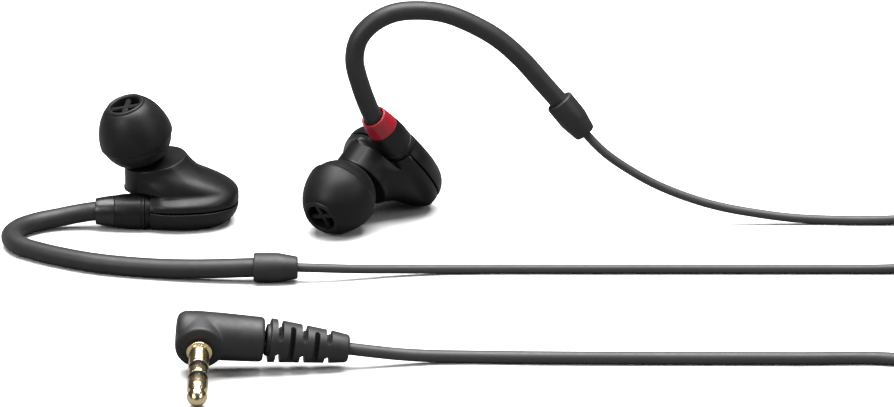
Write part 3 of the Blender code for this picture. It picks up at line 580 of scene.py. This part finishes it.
left_turns = winding(LEFT_COIL, 90.0, -1, 2.0, left_radius, left_height)
left_cable, left_length, left_exit = cable(
    "left_cable", [smooth_path(LEFT_LEAD + [left_turns[0]], 1.5)[:-1], left_turns,
                   smooth_path([left_turns[-1], LEFT_LIFT_OFF] + LEFT_TAIL, 1.0)[1:]],
    EAR_CABLE_R)
right_turns = winding(RIGHT_COIL, 90.0, -1, 3.0, right_radius, right_height)
right_cable, right_length, right_exit = cable(
    "right_cable", [smooth_path(RIGHT_LEAD + [right_turns[0]], 1.5)[:-1], right_turns,
                    smooth_path([right_turns[-1], RIGHT_LIFT_OFF] + RIGHT_TAIL, 1.0)[1:]],
    EAR_CABLE_R)
main_turns = winding(MAIN_COIL, -90.0, 1, 9.25, main_radius, main_height, 30)
main_cable, main_length, _ = cable(
    "main_cable", [smooth_path(MAIN_RUN + [main_turns[0]], 1.5)[:-1], main_turns,
                   smooth_path([main_turns[-1]] + MAIN_TAIL, 0.8)[1:]], MAIN_CABLE_R)
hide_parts("left_lead", "left_coil", "left_tail")
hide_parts("right_lead", "right_coil", "right_tail")
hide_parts("main_run", "main_coil", "main_tail")


# ---------------------------------------------------------------- earpieces

def outline_samples(controls):
    """A smooth curve through the controls, closed by a straight line across the socket."""
    chain = [Vector((x, y, 0.0)) for x, y in controls]
    curved = RING_SAMPLES - FLAT_SAMPLES
    ends = [chain[0] * 2 - chain[1]] + chain + [chain[-1] * 2 - chain[-2]]
    samples = []
    for i in range(curved + 1):
        spot = (len(chain) - 1) * i / curved
        k = min(int(spot), len(chain) - 2)
        t = spot - k
        p0, p1, p2, p3 = ends[k:k + 4]
        samples.append(0.5 * ((2 * p1) + (p2 - p0) * t + (2 * p0 - 5 * p1 + 4 * p2 - p3) * t * t
                              + (3 * p1 - p0 - 3 * p2 + p3) * t ** 3))
    for i in range(1, FLAT_SAMPLES):
        samples.append(chain[-1].lerp(chain[0], i / FLAT_SAMPLES))
    return samples


def platform_height(point):
    """The height of the platform, which slopes both ways, over a point."""
    return (PLATFORM_CENTRE.z + PLATFORM_SLOPE[0] * (point.x - PLATFORM_CENTRE.x)
            + PLATFORM_SLOPE[1] * (point.y - PLATFORM_CENTRE.y))


def platform_point(turn, radius):
    """A point of a circle round the platform's centre, at height 0."""
    return Vector((PLATFORM_CENTRE.x + radius * math.cos(turn),
                   PLATFORM_CENTRE.y + radius * math.sin(turn), 0.0))


def housing_ring(height):
    """The housing's outline at a height above the flat."""
    if height <= SEAM_Z:
        spread = math.sqrt(max(0.0, 1.0 - (1.0 - height / SEAM_Z) ** 2))
        controls = [Vector(a).lerp(Vector(b), spread) for a, b in zip(FLAT_OUTLINE, SEAM_OUTLINE)]
        return [Vector((p.x, p.y, height)) for p in outline_samples(controls)]
    edge = math.sqrt(max(0.04, SOCKET_EDGE_R ** 2 - (height - AXIS_Z) ** 2))
    controls = []
    for index, ((x, y), (start, end, angle)) in enumerate(zip(SEAM_OUTLINE, RISE)):
        if index in (0, len(SEAM_OUTLINE) - 1):
            y = math.copysign(edge, y)
        drawn = ease(height, start, end)
        if index in CREASE:
            y += CREASE[index] * CREASE_DEPTH * ease(height, *CREASE_SPAN) * (1.0 - drawn)
        target = platform_point(math.radians(angle), PLATFORM_R)
        controls.append(Vector((x, y)).lerp(target.to_2d(), drawn))
    samples = outline_samples(controls)
    # The straight line over the socket bends round to the platform's circle.
    start, end, _ = RISE[0]
    over = ease(height, start, end)
    first, last = math.radians(RISE[-1][2]), math.radians(RISE[0][2] + 360)
    for i in range(1, FLAT_SAMPLES):
        arc = platform_point(first + (last - first) * i / FLAT_SAMPLES, PLATFORM_R)
        spot = len(samples) - FLAT_SAMPLES + i
        samples[spot] = samples[spot].lerp(arc, over)
    blend = ease(height, TILT_START, PLATFORM_CENTRE.z)
    return [Vector((p.x, p.y, height + (platform_height(p) - PLATFORM_CENTRE.z) * blend))
            for p in samples]


def inset(ring, wall, lift=0.0):
    """The ring drawn in towards its middle by the wall."""
    middle = sum(ring, Vector()) / len(ring)
    inner = []
    for point in ring:
        reach = Vector((point.x - middle.x, point.y - middle.y, 0.0))
        short = max(reach.length - wall, 0.3)
        inner.append(Vector((middle.x, middle.y, point.z + lift)) + reach.normalized() * short)
    return inner


def platform_turns():
    """The angle at which each sample of the outline reaches the platform's circle."""
    above_all = max(end for _, end, _ in RISE) + 0.05
    ring = housing_ring(above_all)
    return [math.atan2(p.y - PLATFORM_CENTRE.y, p.x - PLATFORM_CENTRE.x) for p in ring]


def platform_ring(radius, drop):
    """A circle on the sloping platform, or below it by the drop."""
    ring = [platform_point(turn, radius) for turn in platform_turns()]
    return [Vector((p.x, p.y, platform_height(p) - drop)) for p in ring]


def nozzle_ring(radius, along):
    """A circle across the nozzle's axis, with its samples in step with the platform's."""
    points = []
    for point in platform_ring(PLATFORM_R, 0.0):
        reach = point - NOZZLE_BASE
        reach -= NOZZLE_AXIS * reach.dot(NOZZLE_AXIS)
        points.append(NOZZLE_BASE + reach.normalized() * radius + NOZZLE_AXIS * along)
    return points


def evenly(low, high, count):
    """Values at equal steps, with both ends."""
    return [low + (high - low) * i / count for i in range(count + 1)]


def combined(mesh, tools, operation, angle, soften=0):
    """The mesh cut by or joined with the tools, all in one frame; soften melts the crease."""
    name = mesh.name
    target = added(name + "_work", mesh)
    work = [target]
    for index, tool in enumerate(tools):
        other = added("%s_tool_%d" % (name, index), tool)
        work.append(other)
        step = target.modifiers.new(other.name, "BOOLEAN")
        step.operation = operation
        step.solver = "EXACT"
        step.object = other
    if soften:
        fine = target.modifiers.new("fine", "REMESH")
        fine.mode = "VOXEL"
        fine.voxel_size = 0.16 * MM
        soft = target.modifiers.new("soft", "SMOOTH")
        soft.factor = 0.5
        soft.iterations = soften
    depsgraph = bpy.context.evaluated_depsgraph_get()
    result = bpy.data.meshes.new_from_object(target.evaluated_get(depsgraph))
    for obj in work:
        bpy.data.objects.remove(obj, do_unlink=True)
    smooth_by_angle(result, angle)
    return result


def rounded_block(name, size, where, edge):
    """A box with rounded edges, in a frame."""
    shape = bmesh.new()
    bmesh.ops.create_cube(shape, size=1.0)
    bmesh.ops.scale(shape, verts=shape.verts, vec=Vector(size) * MM)
    bmesh.ops.bevel(shape, geom=shape.edges, offset=edge * MM, segments=3, affect="EDGES")
    mesh = as_mesh(name, shape)
    mesh.transform(where)
    return mesh


PORT = axis_frame((0.0, 0.0, AXIS_Z), (1.0, 0.0, 0.0))


def port_drill():
    """The round hole for the connector, along the socket's axis."""
    low, high = PORT_ENDS
    profile = [(0.0, high), (PORT_R, high), (PORT_R, low), (0.0, low)]
    mesh = as_mesh("port_drill", turned(profile, 64, False))
    mesh.transform(PORT)
    return mesh


def shell_mesh(name):
    """Up from the seam's rounded edge, over the platform, down the nozzle and back inside."""
    low = SEAM_Z + SEAM_GAP / 2
    rings = [inset(housing_ring(low), 0.22), inset(housing_ring(low + 0.02), 0.10, 0.02),
             inset(housing_ring(low + 0.10), 0.03, 0.02), housing_ring(low + 0.22)]
    rings += [housing_ring(h) for h in evenly(low + 0.45, 6.2, 10)]
    rings += [housing_ring(h) for h in evenly(6.28, 7.5, 16)]
    rings += [housing_ring(h) for h in evenly(7.7, 11.6, 18)]
    rings += [platform_ring(PLATFORM_R, 0.10), platform_ring(PLATFORM_R - 0.06, -0.02),
              platform_ring(PLATFORM_R - 0.22, -0.10), platform_ring(PLATFORM_R - 0.45, -0.12),
              platform_ring(PLATFORM_R - 1.6, -0.13)]
    rings += [nozzle_ring(2.62, 0.12), nozzle_ring(2.6, -1.2)]
    rings += [inset(housing_ring(h), WALL, -drop) for h, drop in
              ((10.2, 0.6), (9.2, 0.4), (8.3, 0.3), (7.6, 0.2))]
    rings += [inset(housing_ring(h), WALL) for h in (6.0, 5.0)] + [inset(housing_ring(low), WALL)]
    mesh = as_mesh(name, skin(rings, True), 32.0)
    return combined(mesh, [port_drill()], "DIFFERENCE", 32.0)


def plate_mesh(name):
    """A dish from the seam's rounded edge down to the flat, and its inside."""
    top = SEAM_Z - SEAM_GAP / 2
    outer = [inset(housing_ring(top), 0.22), inset(housing_ring(top - 0.02), 0.10, -0.02),
             inset(housing_ring(top - 0.10), 0.03), housing_ring(top - 0.25)]
    outer += [housing_ring(h) for h in evenly(top - 0.6, 0.9, 10)]
    outer += [housing_ring(h) for h in (0.65, 0.45, 0.28, 0.15, 0.07, 0.02, 0.0)]
    inner = [inset(housing_ring(h), WALL) for h in (1.1, 2.0, 2.9)]
    inner = [[Vector((p.x, p.y, max(p.z, WALL))) for p in ring] for ring in inner]
    inner.append(inset(housing_ring(top), WALL))
    mesh = as_mesh(name, skin(inner + outer), 32.0)
    return combined(mesh, [port_drill()], "DIFFERENCE", 32.0)


def tip_profile():
    """The tip's mouth lip, bulb and skirt edge, then the hollow inside it and the bore."""
    bulb = [(2.86, 12.0), (3.0, 12.08), (3.3, 12.1), (3.5, 12.05), (3.6, 11.92), (3.63, 11.76),
            (3.7, 11.68), (3.82, 11.64), (4.1, 11.45), (4.6, 10.95), (5.1, 10.3), (5.65, 9.4),
            (6.1, 8.4), (6.45, 7.4), (6.7, 6.4), (6.82, 5.6), (6.86, 4.9), (6.84, 4.62),
            (6.76, 4.52), (6.66, 4.48), (6.58, 4.3), (6.45, 3.8), (6.2, 3.1), (5.85, 2.4),
            (5.45, 1.8), (5.0, 1.25), (4.8, 1.06), (4.6, 1.0), (4.42, 1.18)]
    hollow = [(4.8, 1.6), (5.3, 2.3), (5.75, 3.0), (6.0, 3.6), (6.2, 4.4), (6.25, 5.2), (6.1, 6.4),
              (5.6, 8.0), (5.1, 9.0), (4.6, 9.6), (4.2, 10.0), (3.9, 10.15), (3.5, 10.1),
              (3.3, 9.8), (3.3, 2.1), (3.15, 1.92), (2.85, 1.9), (2.7, 2.05), (2.7, 11.6),
              (2.74, 11.85)]
    return bulb + hollow


def tip_mesh(name):
    """The silicone tip, with the cross that keeps wax out moulded across its mouth."""
    bars = []
    for angle in (45.0, 135.0):
        turn = (Matrix.Translation((0.0, 0.0, CROSS_HEIGHT * MM))
                @ Matrix.Rotation(math.radians(angle), 4, "Z"))
        bars.append(rounded_block("%s_bar_%d" % (name, angle), CROSS_BAR, turn, 0.15))
    return combined(as_mesh(name, turned(tip_profile(), 96)), bars, "UNION", 60.0)


def stem_mesh(name):
    """The nozzle, with a barb round its end that holds the tip."""
    bore, top = 1.9, 10.3
    profile = [(2.35, top), (2.35, 8.8), (2.2, 8.5), (2.2, 5.4), (2.3, 5.1), (2.3, -1.5),
               (2.7, -2.0), (2.7, -2.4), (bore, -2.4), (bore, top)]
    return as_mesh(name, turned(rounded(profile, 0.12), 64))


def build_hook(label, route, ferrule):
    """A hollow sheath whose width wavers slightly, and the ferrule over its end."""
    points = smooth_path(route, 0.7)
    radii = [HOOK_R * (1.0 + 0.006 * noise.noise(point * 0.35)) for point in points]
    outer = tube_rings(points, radii, HOOK_SIDES)
    inner = tube_rings(points, [HOOK_BORE] * len(points), HOOK_SIDES)
    rings = outer + list(reversed(inner))
    mesh = as_mesh(label + "_sheath", skin(rings, True), 50.0)
    mesh.transform(HOME_FRAME)
    place(label + "_sheath", mesh, "hook_grey", "harness", [label + "_ear_hook"])
    start, along = ferrule
    boot = [(1.3, FERRULE_LENGTH), (1.9, FERRULE_LENGTH), (2.05, FERRULE_LENGTH - 0.3), (2.62, 4.5),
            (2.65, 4.0), (2.65, 0.25), (2.5, 0.0), (HOOK_R + 0.05, 0.0), (HOOK_R + 0.05, 4.3),
            (EAR_CABLE_R + 0.12, 4.3), (EAR_CABLE_R + 0.12, FERRULE_LENGTH)]
    lathe(label + "_boot", boot, "overmould_grey", "harness", [label + "_ferrule"],
          HOME_FRAME @ axis_frame(start, along), 0.3)


def build_earpiece(label, mirror, place_frame, joint, way, colour):
    """The housing with its socket, the nozzle and tip, and the connector that points the way."""
    body = label + "_earpiece"
    flip = place_frame @ mirror
    place(label + "_shell", shell_mesh(label + "_shell"), "housing_black", body,
          [label + "_inner_shell"], flip)
    place(label + "_plate", plate_mesh(label + "_plate"), "housing_black", body,
          [label + "_faceplate"], flip)
    nozzle = flip @ axis_frame(NOZZLE_BASE, NOZZLE_AXIS)
    place(label + "_stem", stem_mesh(label + "_stem"), "housing_black", body, [label + "_nozzle"],
          nozzle)
    place(label + "_tip", tip_mesh(label + "_tip"), "silicone_black", label + "_ear_tip",
          [label + "_ear_tip"], nozzle)

    frame_out = HOME_FRAME @ axis_frame(joint, way)
    collar = [(2.6, 6.32), (2.90, 6.32), (2.94, 6.27), (3.07, 5.5), (3.17, 4.7), (3.23, 3.9),
              (3.25, 3.2), (3.25, 1.52), (3.13, 1.45), (3.13, 1.33), (3.25, 1.26), (3.25, 0.9),
              (3.2, 0.85), (1.8, 0.85), (1.8, 4.1), (1.2, 4.3), (1.2, 6.32)]
    lathe(label + "_collar", collar, "housing_black", "harness", [label + "_connector_shell"],
          frame_out, 0.04)
    band = [(2.0, 9.86), (2.22, 9.9), (2.36, 9.86), (2.42, 9.7), (2.55, 9.0), (2.70, 8.1),
            (2.84, 7.2), (2.94, 6.42), (2.90, 6.36), (2.0, 6.36)]
    lathe(label + "_band", band, colour, "harness", [label + "_id_ring"], frame_out, 0.04)
    jack = flip @ PORT
    bezel = [(2.2, -0.82), (2.95, -0.82), (3.1, -0.70), (3.1, -0.42), (2.98, -0.34), (2.98, -0.04),
             (2.88, 0.0), (2.88, 0.8), (2.7, 0.8), (2.7, -0.14), (2.2, -0.14)]
    lathe(label + "_bezel", bezel, "housing_black", body, [], jack, 0.05)
    barrel = [(1.5, 5.2), (2.65, 5.2), (2.65, -0.08), (2.15, -0.08), (2.15, 4.6), (1.5, 4.6)]
    lathe(label + "_jack", barrel, "steel", body, [label + "_socket_barrel"], jack, 0.06)


right_z = RIGHT_X.cross(RIGHT_Y).normalized()
right_y = right_z.cross(RIGHT_X).normalized()
right_turn = Matrix((RIGHT_X, right_y, right_z)).transposed().to_4x4()
socket = Vector((0.0, 0.0, AXIS_Z))
right_frame = (HOME_FRAME @ Matrix.Translation(RIGHT_SOCKET * MM) @ right_turn
               @ Matrix.Translation(-socket * MM))
mirrored = Matrix.Diagonal((1.0, -1.0, 1.0, 1.0))
right_way = -RIGHT_X
right_hook = [RIGHT_SOCKET + right_way * HOOK_START, RIGHT_SOCKET + right_way * CONNECTOR_LENGTH]
right_hook += [Vector(p) for p in RIGHT_HOOK_REST]

build_earpiece("left", Matrix.Identity(4), HOME_FRAME, socket, Vector((-1.0, 0.0, 0.0)), "id_black")
build_earpiece("right", mirrored, right_frame, RIGHT_SOCKET, right_way, "id_red")
build_hook("left", LEFT_HOOK, LEFT_FERRULE)
build_hook("right", right_hook, RIGHT_FERRULE)


# ---------------------------------------------------------------- plug

plug_frame = HOME_FRAME @ axis_frame(PLUG_FACE, PLUG_AXIS)
root = PLUG_FACE - PLUG_AXIS * ELBOW_DEPTH
arm_axis = (ARM_END - root).normalized()
arm_reach = (ARM_END - root).length


def plug_mesh(name):
    """Barrel and arm grown together, with the crease between them melted."""
    barrel = [(0.0, 0.0), (BARREL_R - 0.35, 0.0), (BARREL_R, -0.35), (BARREL_R, -BARREL_LENGTH),
              (0.0, -BARREL_LENGTH)]
    arm = [(0.0, arm_reach), (3.6, arm_reach), (3.9, arm_reach - 0.4), (4.15, 3.5), (4.2, 0.0),
           (4.1, -2.9), (3.5, -3.9), (2.6, -4.2), (0.0, -4.3)]
    base = as_mesh(name, turned(rounded(barrel, 0.35, False), 96, False))
    base.transform(axis_frame(PLUG_FACE, PLUG_AXIS))
    limb = as_mesh(name + "_limb", turned(rounded(arm, 0.6, False), 96, False))
    limb.transform(axis_frame(root, arm_axis))
    return combined(base, [limb], "UNION", 70.0, 28)


plug_shell = plug_mesh("plug_housing")
plug_shell.transform(HOME_FRAME)
plug_pieces = [place("plug_housing", plug_shell, "overmould_grey", "harness", ["plug_body"])]

relief_axis = (RELIEF_END - ARM_END).normalized()
relief_length = (RELIEF_END - ARM_END).length
relief_frame = HOME_FRAME @ axis_frame(ARM_END, relief_axis)


def relief_mesh(name):
    """Segmented sleeve: alternate pairs of slots, so it bends both ways, then a collar."""
    bore = MAIN_CABLE_R + 0.12
    sleeve = [(bore, relief_length), (2.2, relief_length), (2.45, relief_length - 0.35),
              (2.8, relief_length - 2.8), (3.85, 0.95), (2.8, 0.95), (2.8, RELIEF_GAP),
              (bore, RELIEF_GAP)]
    across, deep, wide = SLOT_SIZE
    slots = []
    for index in range(SLOT_COUNT):
        spot = SLOT_START + SLOT_PITCH * index
        upright = index % 2 == 0
        for reach in (-SLOT_REACH, SLOT_REACH):
            size = (across, deep, wide) if upright else (deep, across, wide)
            offset = (0.0, reach, spot) if upright else (reach, 0.0, spot)
            slots.append(rounded_block("%s_slot_%d" % (name, len(slots)), size,
                                       Matrix.Translation(Vector(offset) * MM), 0.25))
    return combined(as_mesh(name, turned(rounded(sleeve, 0.25), 96)), slots, "DIFFERENCE", 34.0)


plug_pieces.append(place("plug_relief", relief_mesh("plug_relief"), "overmould_grey", "harness",
                         ["strain_relief"], relief_frame))

# Finish, edge radius and profile of each piece of the shaft.
SHAFT = {
    "sleeve": ("gold", 0.12, [(PIN_R, 5.1), (SHAFT_R, 5.1), (SHAFT_R, 0.95), (2.2, 0.95), (2.2, 0.3),
                              (1.3, 0.3), (1.3, -2.2), (PIN_R, -2.2)]),
    "insulator_rear": ("insulator_black", 0.03, [(PIN_R, 6.15), (INSULATOR_R, 6.15),
                                                 (INSULATOR_R, 5.15), (PIN_R, 5.15)]),
    "ring": ("gold", 0.1, [(PIN_R, 8.0), (SHAFT_R, 8.0), (SHAFT_R, 6.2), (PIN_R, 6.2)]),
    "insulator_front": ("insulator_black", 0.03, [(PIN_R, 9.05), (INSULATOR_R, 9.05),
                                                  (INSULATOR_R, 8.05), (PIN_R, 8.05)]),
    "tip": ("gold", 0.1, [(0.0, 15.0), (0.5, 14.95), (0.95, 14.68), (1.3, 14.25), (1.6, 13.7),
                          (SHAFT_R, 13.25), (1.66, 12.95), (1.3, 12.62), (1.22, 12.45), (1.3, 12.2),
                          (1.62, 11.65), (SHAFT_R, 11.3), (SHAFT_R, 9.1), (ROD_R, 9.1),
                          (ROD_R, -2.4), (0.0, -2.4)])}
for label, (finish, edge, profile) in SHAFT.items():
    plug_pieces.append(lathe("shaft_" + label, profile, finish, "harness", ["plug_" + label],
                             plug_frame, edge, closed=label != "tip"))


# ---------------------------------------------------------------- line pieces and ties

def oval(x_half, z_half, y, z, power=2.5, count=72):
    """A squarish ring round the pair of leads."""
    points = []
    for i in range(count):
        turn = 2 * math.pi * i / count
        c, s = math.cos(turn), math.sin(turn)
        points.append(Vector((math.copysign(abs(c) ** (2 / power), c) * x_half + LINE_X, y,
                              math.copysign(abs(s) ** (2 / power), s) * z_half + z)))
    return points


def line_rings(stations):
    """Ovals at every 0.4 mm or less between the given (half width, half height, y, z) stations."""
    rings = []
    for a, b in zip(stations, stations[1:]):
        steps = max(1, math.ceil(abs(b[2] - a[2]) / 0.4))
        for i in range(steps):
            part = i / steps
            eased = ease(part, 0.0, 1.0)
            rings.append(oval(*[p + (q - p) * (part if k == 2 else eased)
                                for k, (p, q) in enumerate(zip(a, b))]))
    rings.append(oval(*stations[-1]))
    return rings


def fork_mesh(name):
    """The split: round where the main cable enters, wide and low where the leads leave."""
    low, high = SPLIT_ENDS
    fork = line_rings([
        (1.35, 1.35, low, 2.7), (1.65, 1.65, low + 0.15, 2.7), (2.0, 2.0, low + 1.6, 2.6),
        (2.4, 2.2, low + 2.6, 2.5), (2.9, 2.3, low + 5.5, 2.4), (3.2, 2.2, high - 2.5, 2.25),
        (3.05, 1.95, high - 0.6, 2.0), (2.85, 1.75, high - 0.15, 1.97), (2.4, 1.2, high, 1.95)])
    mesh = as_mesh(name, skin(fork), 50.0)
    mesh.transform(HOME_FRAME)
    return mesh


def slider_mesh(name):
    """The chin slider: a sleeve round both leads, slightly waisted for the fingers."""
    low, high = SLIDER_ENDS
    outer = line_rings([
        (3.0, 1.5, low, LEAD_Z), (3.25, 1.75, low + 0.25, LEAD_Z), (3.35, 1.85, low + 0.8, LEAD_Z),
        (3.28, 1.78, (low + high) / 2, LEAD_Z), (3.35, 1.85, high - 0.8, LEAD_Z),
        (3.25, 1.75, high - 0.25, LEAD_Z), (3.0, 1.5, high, LEAD_Z)])
    bore_r = EAR_CABLE_R + 0.15
    bore = [oval(LEAD_SPREAD + bore_r, bore_r, y, LEAD_Z, 3.2) for y in (high, low)]
    mesh = as_mesh(name, skin(outer + bore, True), 50.0)
    mesh.transform(HOME_FRAME)
    return mesh


fork_piece = place("fork", fork_mesh("fork"), "overmould_grey", "harness", ["y_split"])
slider_piece = place("slider", slider_mesh("slider"), "overmould_grey", "chin_slider",
                     ["chin_slider"])


def tie_mesh(name, centre, r_in, r_out, tall, angle):
    """A soft strap wound round one side of a coil, thicker where its end laps over."""
    samples = 96
    left, right = r_in - TIE_SLACK, r_out + TIE_SLACK
    low, high = COIL_LIFT - TIE_SLACK, COIL_LIFT + tall + TIE_SLACK
    middle = Vector(((left + right) / 2, (low + high) / 2))
    half = Vector(((right - left) / 2, (high - low) / 2))
    loops = []
    for grow, side in ((0.0, -1), (0.0, 1), (TIE_THICK, 1), (TIE_THICK, -1)):
        loop = []
        for i in range(samples):
            turn = 2 * math.pi * i / samples
            c, s = math.cos(turn), math.sin(turn)
            lap = TIE_LAP if grow and 0.6 < turn < 2.5 else 0.0
            x = math.copysign(abs(c) ** TIE_POWER, c) * (half.x + grow + lap)
            z = math.copysign(abs(s) ** TIE_POWER, s) * (half.y + grow + lap)
            loop.append(Vector((middle.x + x, side * TIE_WIDTH / 2, middle.y + z)))
        loops.append(loop)
    shape = skin(loops, True)
    sharp = [e for e in shape.edges if e.calc_face_angle(0.0) > math.radians(50.0)]
    bmesh.ops.bevel(shape, geom=sharp, offset=0.12 * MM, segments=3, affect="EDGES")
    mesh = as_mesh(name, shape, 50.0)
    mesh.transform(HOME_FRAME @ Matrix.Translation(centre * MM)
                   @ Matrix.Rotation(math.radians(angle), 4, "Z"))
    return mesh


for label, coil in TIES.items():
    place(label + "_strap", tie_mesh(label + "_strap", *coil), "overmould_grey",
                        "harness", [label + "_tie"])


# ---------------------------------------------------------------- carried-over nodes

slot_of = {part["node"]: part["material_slot"] for part in frame["record"]["subparts"]}
for name, obj in frame["nodes"].items():
    if slot_of[name] in FINISH:
        if not obj.material_slots:
            obj.data.materials.append(FINISH[slot_of[name]])
        for slot in obj.material_slots:
            slot.material = FINISH[slot_of[name]]


# ---------------------------------------------------------------- floor, light

def floor_paint():
    """White to look at, but dim in what it sends up to the dark pieces."""
    paint = bpy.data.materials.new("floor")
    paint.use_nodes = True
    nodes, links = paint.node_tree.nodes, paint.node_tree.links
    white = nodes["Principled BSDF"]
    white.inputs["Base Color"].default_value = (0.92, 0.92, 0.92, 1.0)
    white.inputs["Roughness"].default_value = 0.8
    white.inputs["Specular IOR Level"].default_value = 0.0
    dim = nodes.new("ShaderNodeBsdfDiffuse")
    dim.inputs["Color"].default_value = (0.16, 0.16, 0.16, 1.0)
    path = nodes.new("ShaderNodeLightPath")
    either = nodes.new("ShaderNodeMixShader")
    links.new(path.outputs["Is Camera Ray"], either.inputs["Fac"])
    links.new(dim.outputs["BSDF"], either.inputs[1])
    links.new(white.outputs["BSDF"], either.inputs[2])
    links.new(either.outputs["Shader"], nodes["Material Output"].inputs["Surface"])
    return paint


floor_mesh = bpy.data.meshes.new("floor")
floor_shape = bmesh.new()
bmesh.ops.create_grid(floor_shape, x_segments=2, y_segments=2, size=3.0)
floor_shape.to_mesh(floor_mesh)
floor_shape.free()
floor_mesh.materials.append(floor_paint())
floor = added("floor", floor_mesh)
floor.location = (0.06, 0.0, -0.00005)


def softbox(name, spot, aim, size, power):
    """A rectangular light that faces its aim."""
    data = bpy.data.lights.new(name, "AREA")
    data.shape = "RECTANGLE"
    data.size, data.size_y = size
    data.energy = power
    lamp = added(name, data)
    lamp.location = spot
    lamp.rotation_euler = (Vector(aim) - Vector(spot)).to_track_quat("-Z", "Y").to_euler()


softbox("top", (0.05, 0.05, 1.20), (0.05, -0.02, 0.0), (1.3, 1.0), 52.0)
softbox("front_left", (-0.75, -0.75, 0.65), (0.0, -0.03, 0.0), (0.5, 0.5), 5.5)
softbox("front_right", (0.95, -0.55, 0.60), (0.05, -0.03, 0.0), (0.4, 0.5), 2.0)

world = bpy.data.worlds.new("world")
bpy.context.scene.world = world
world.use_nodes = True
world.node_tree.nodes["Background"].inputs["Color"].default_value = (1.0, 1.0, 1.0, 1.0)
world.node_tree.nodes["Background"].inputs["Strength"].default_value = 0.06
bpy.context.scene.view_settings.view_transform = "Standard"
bpy.context.scene.view_settings.look = "None"
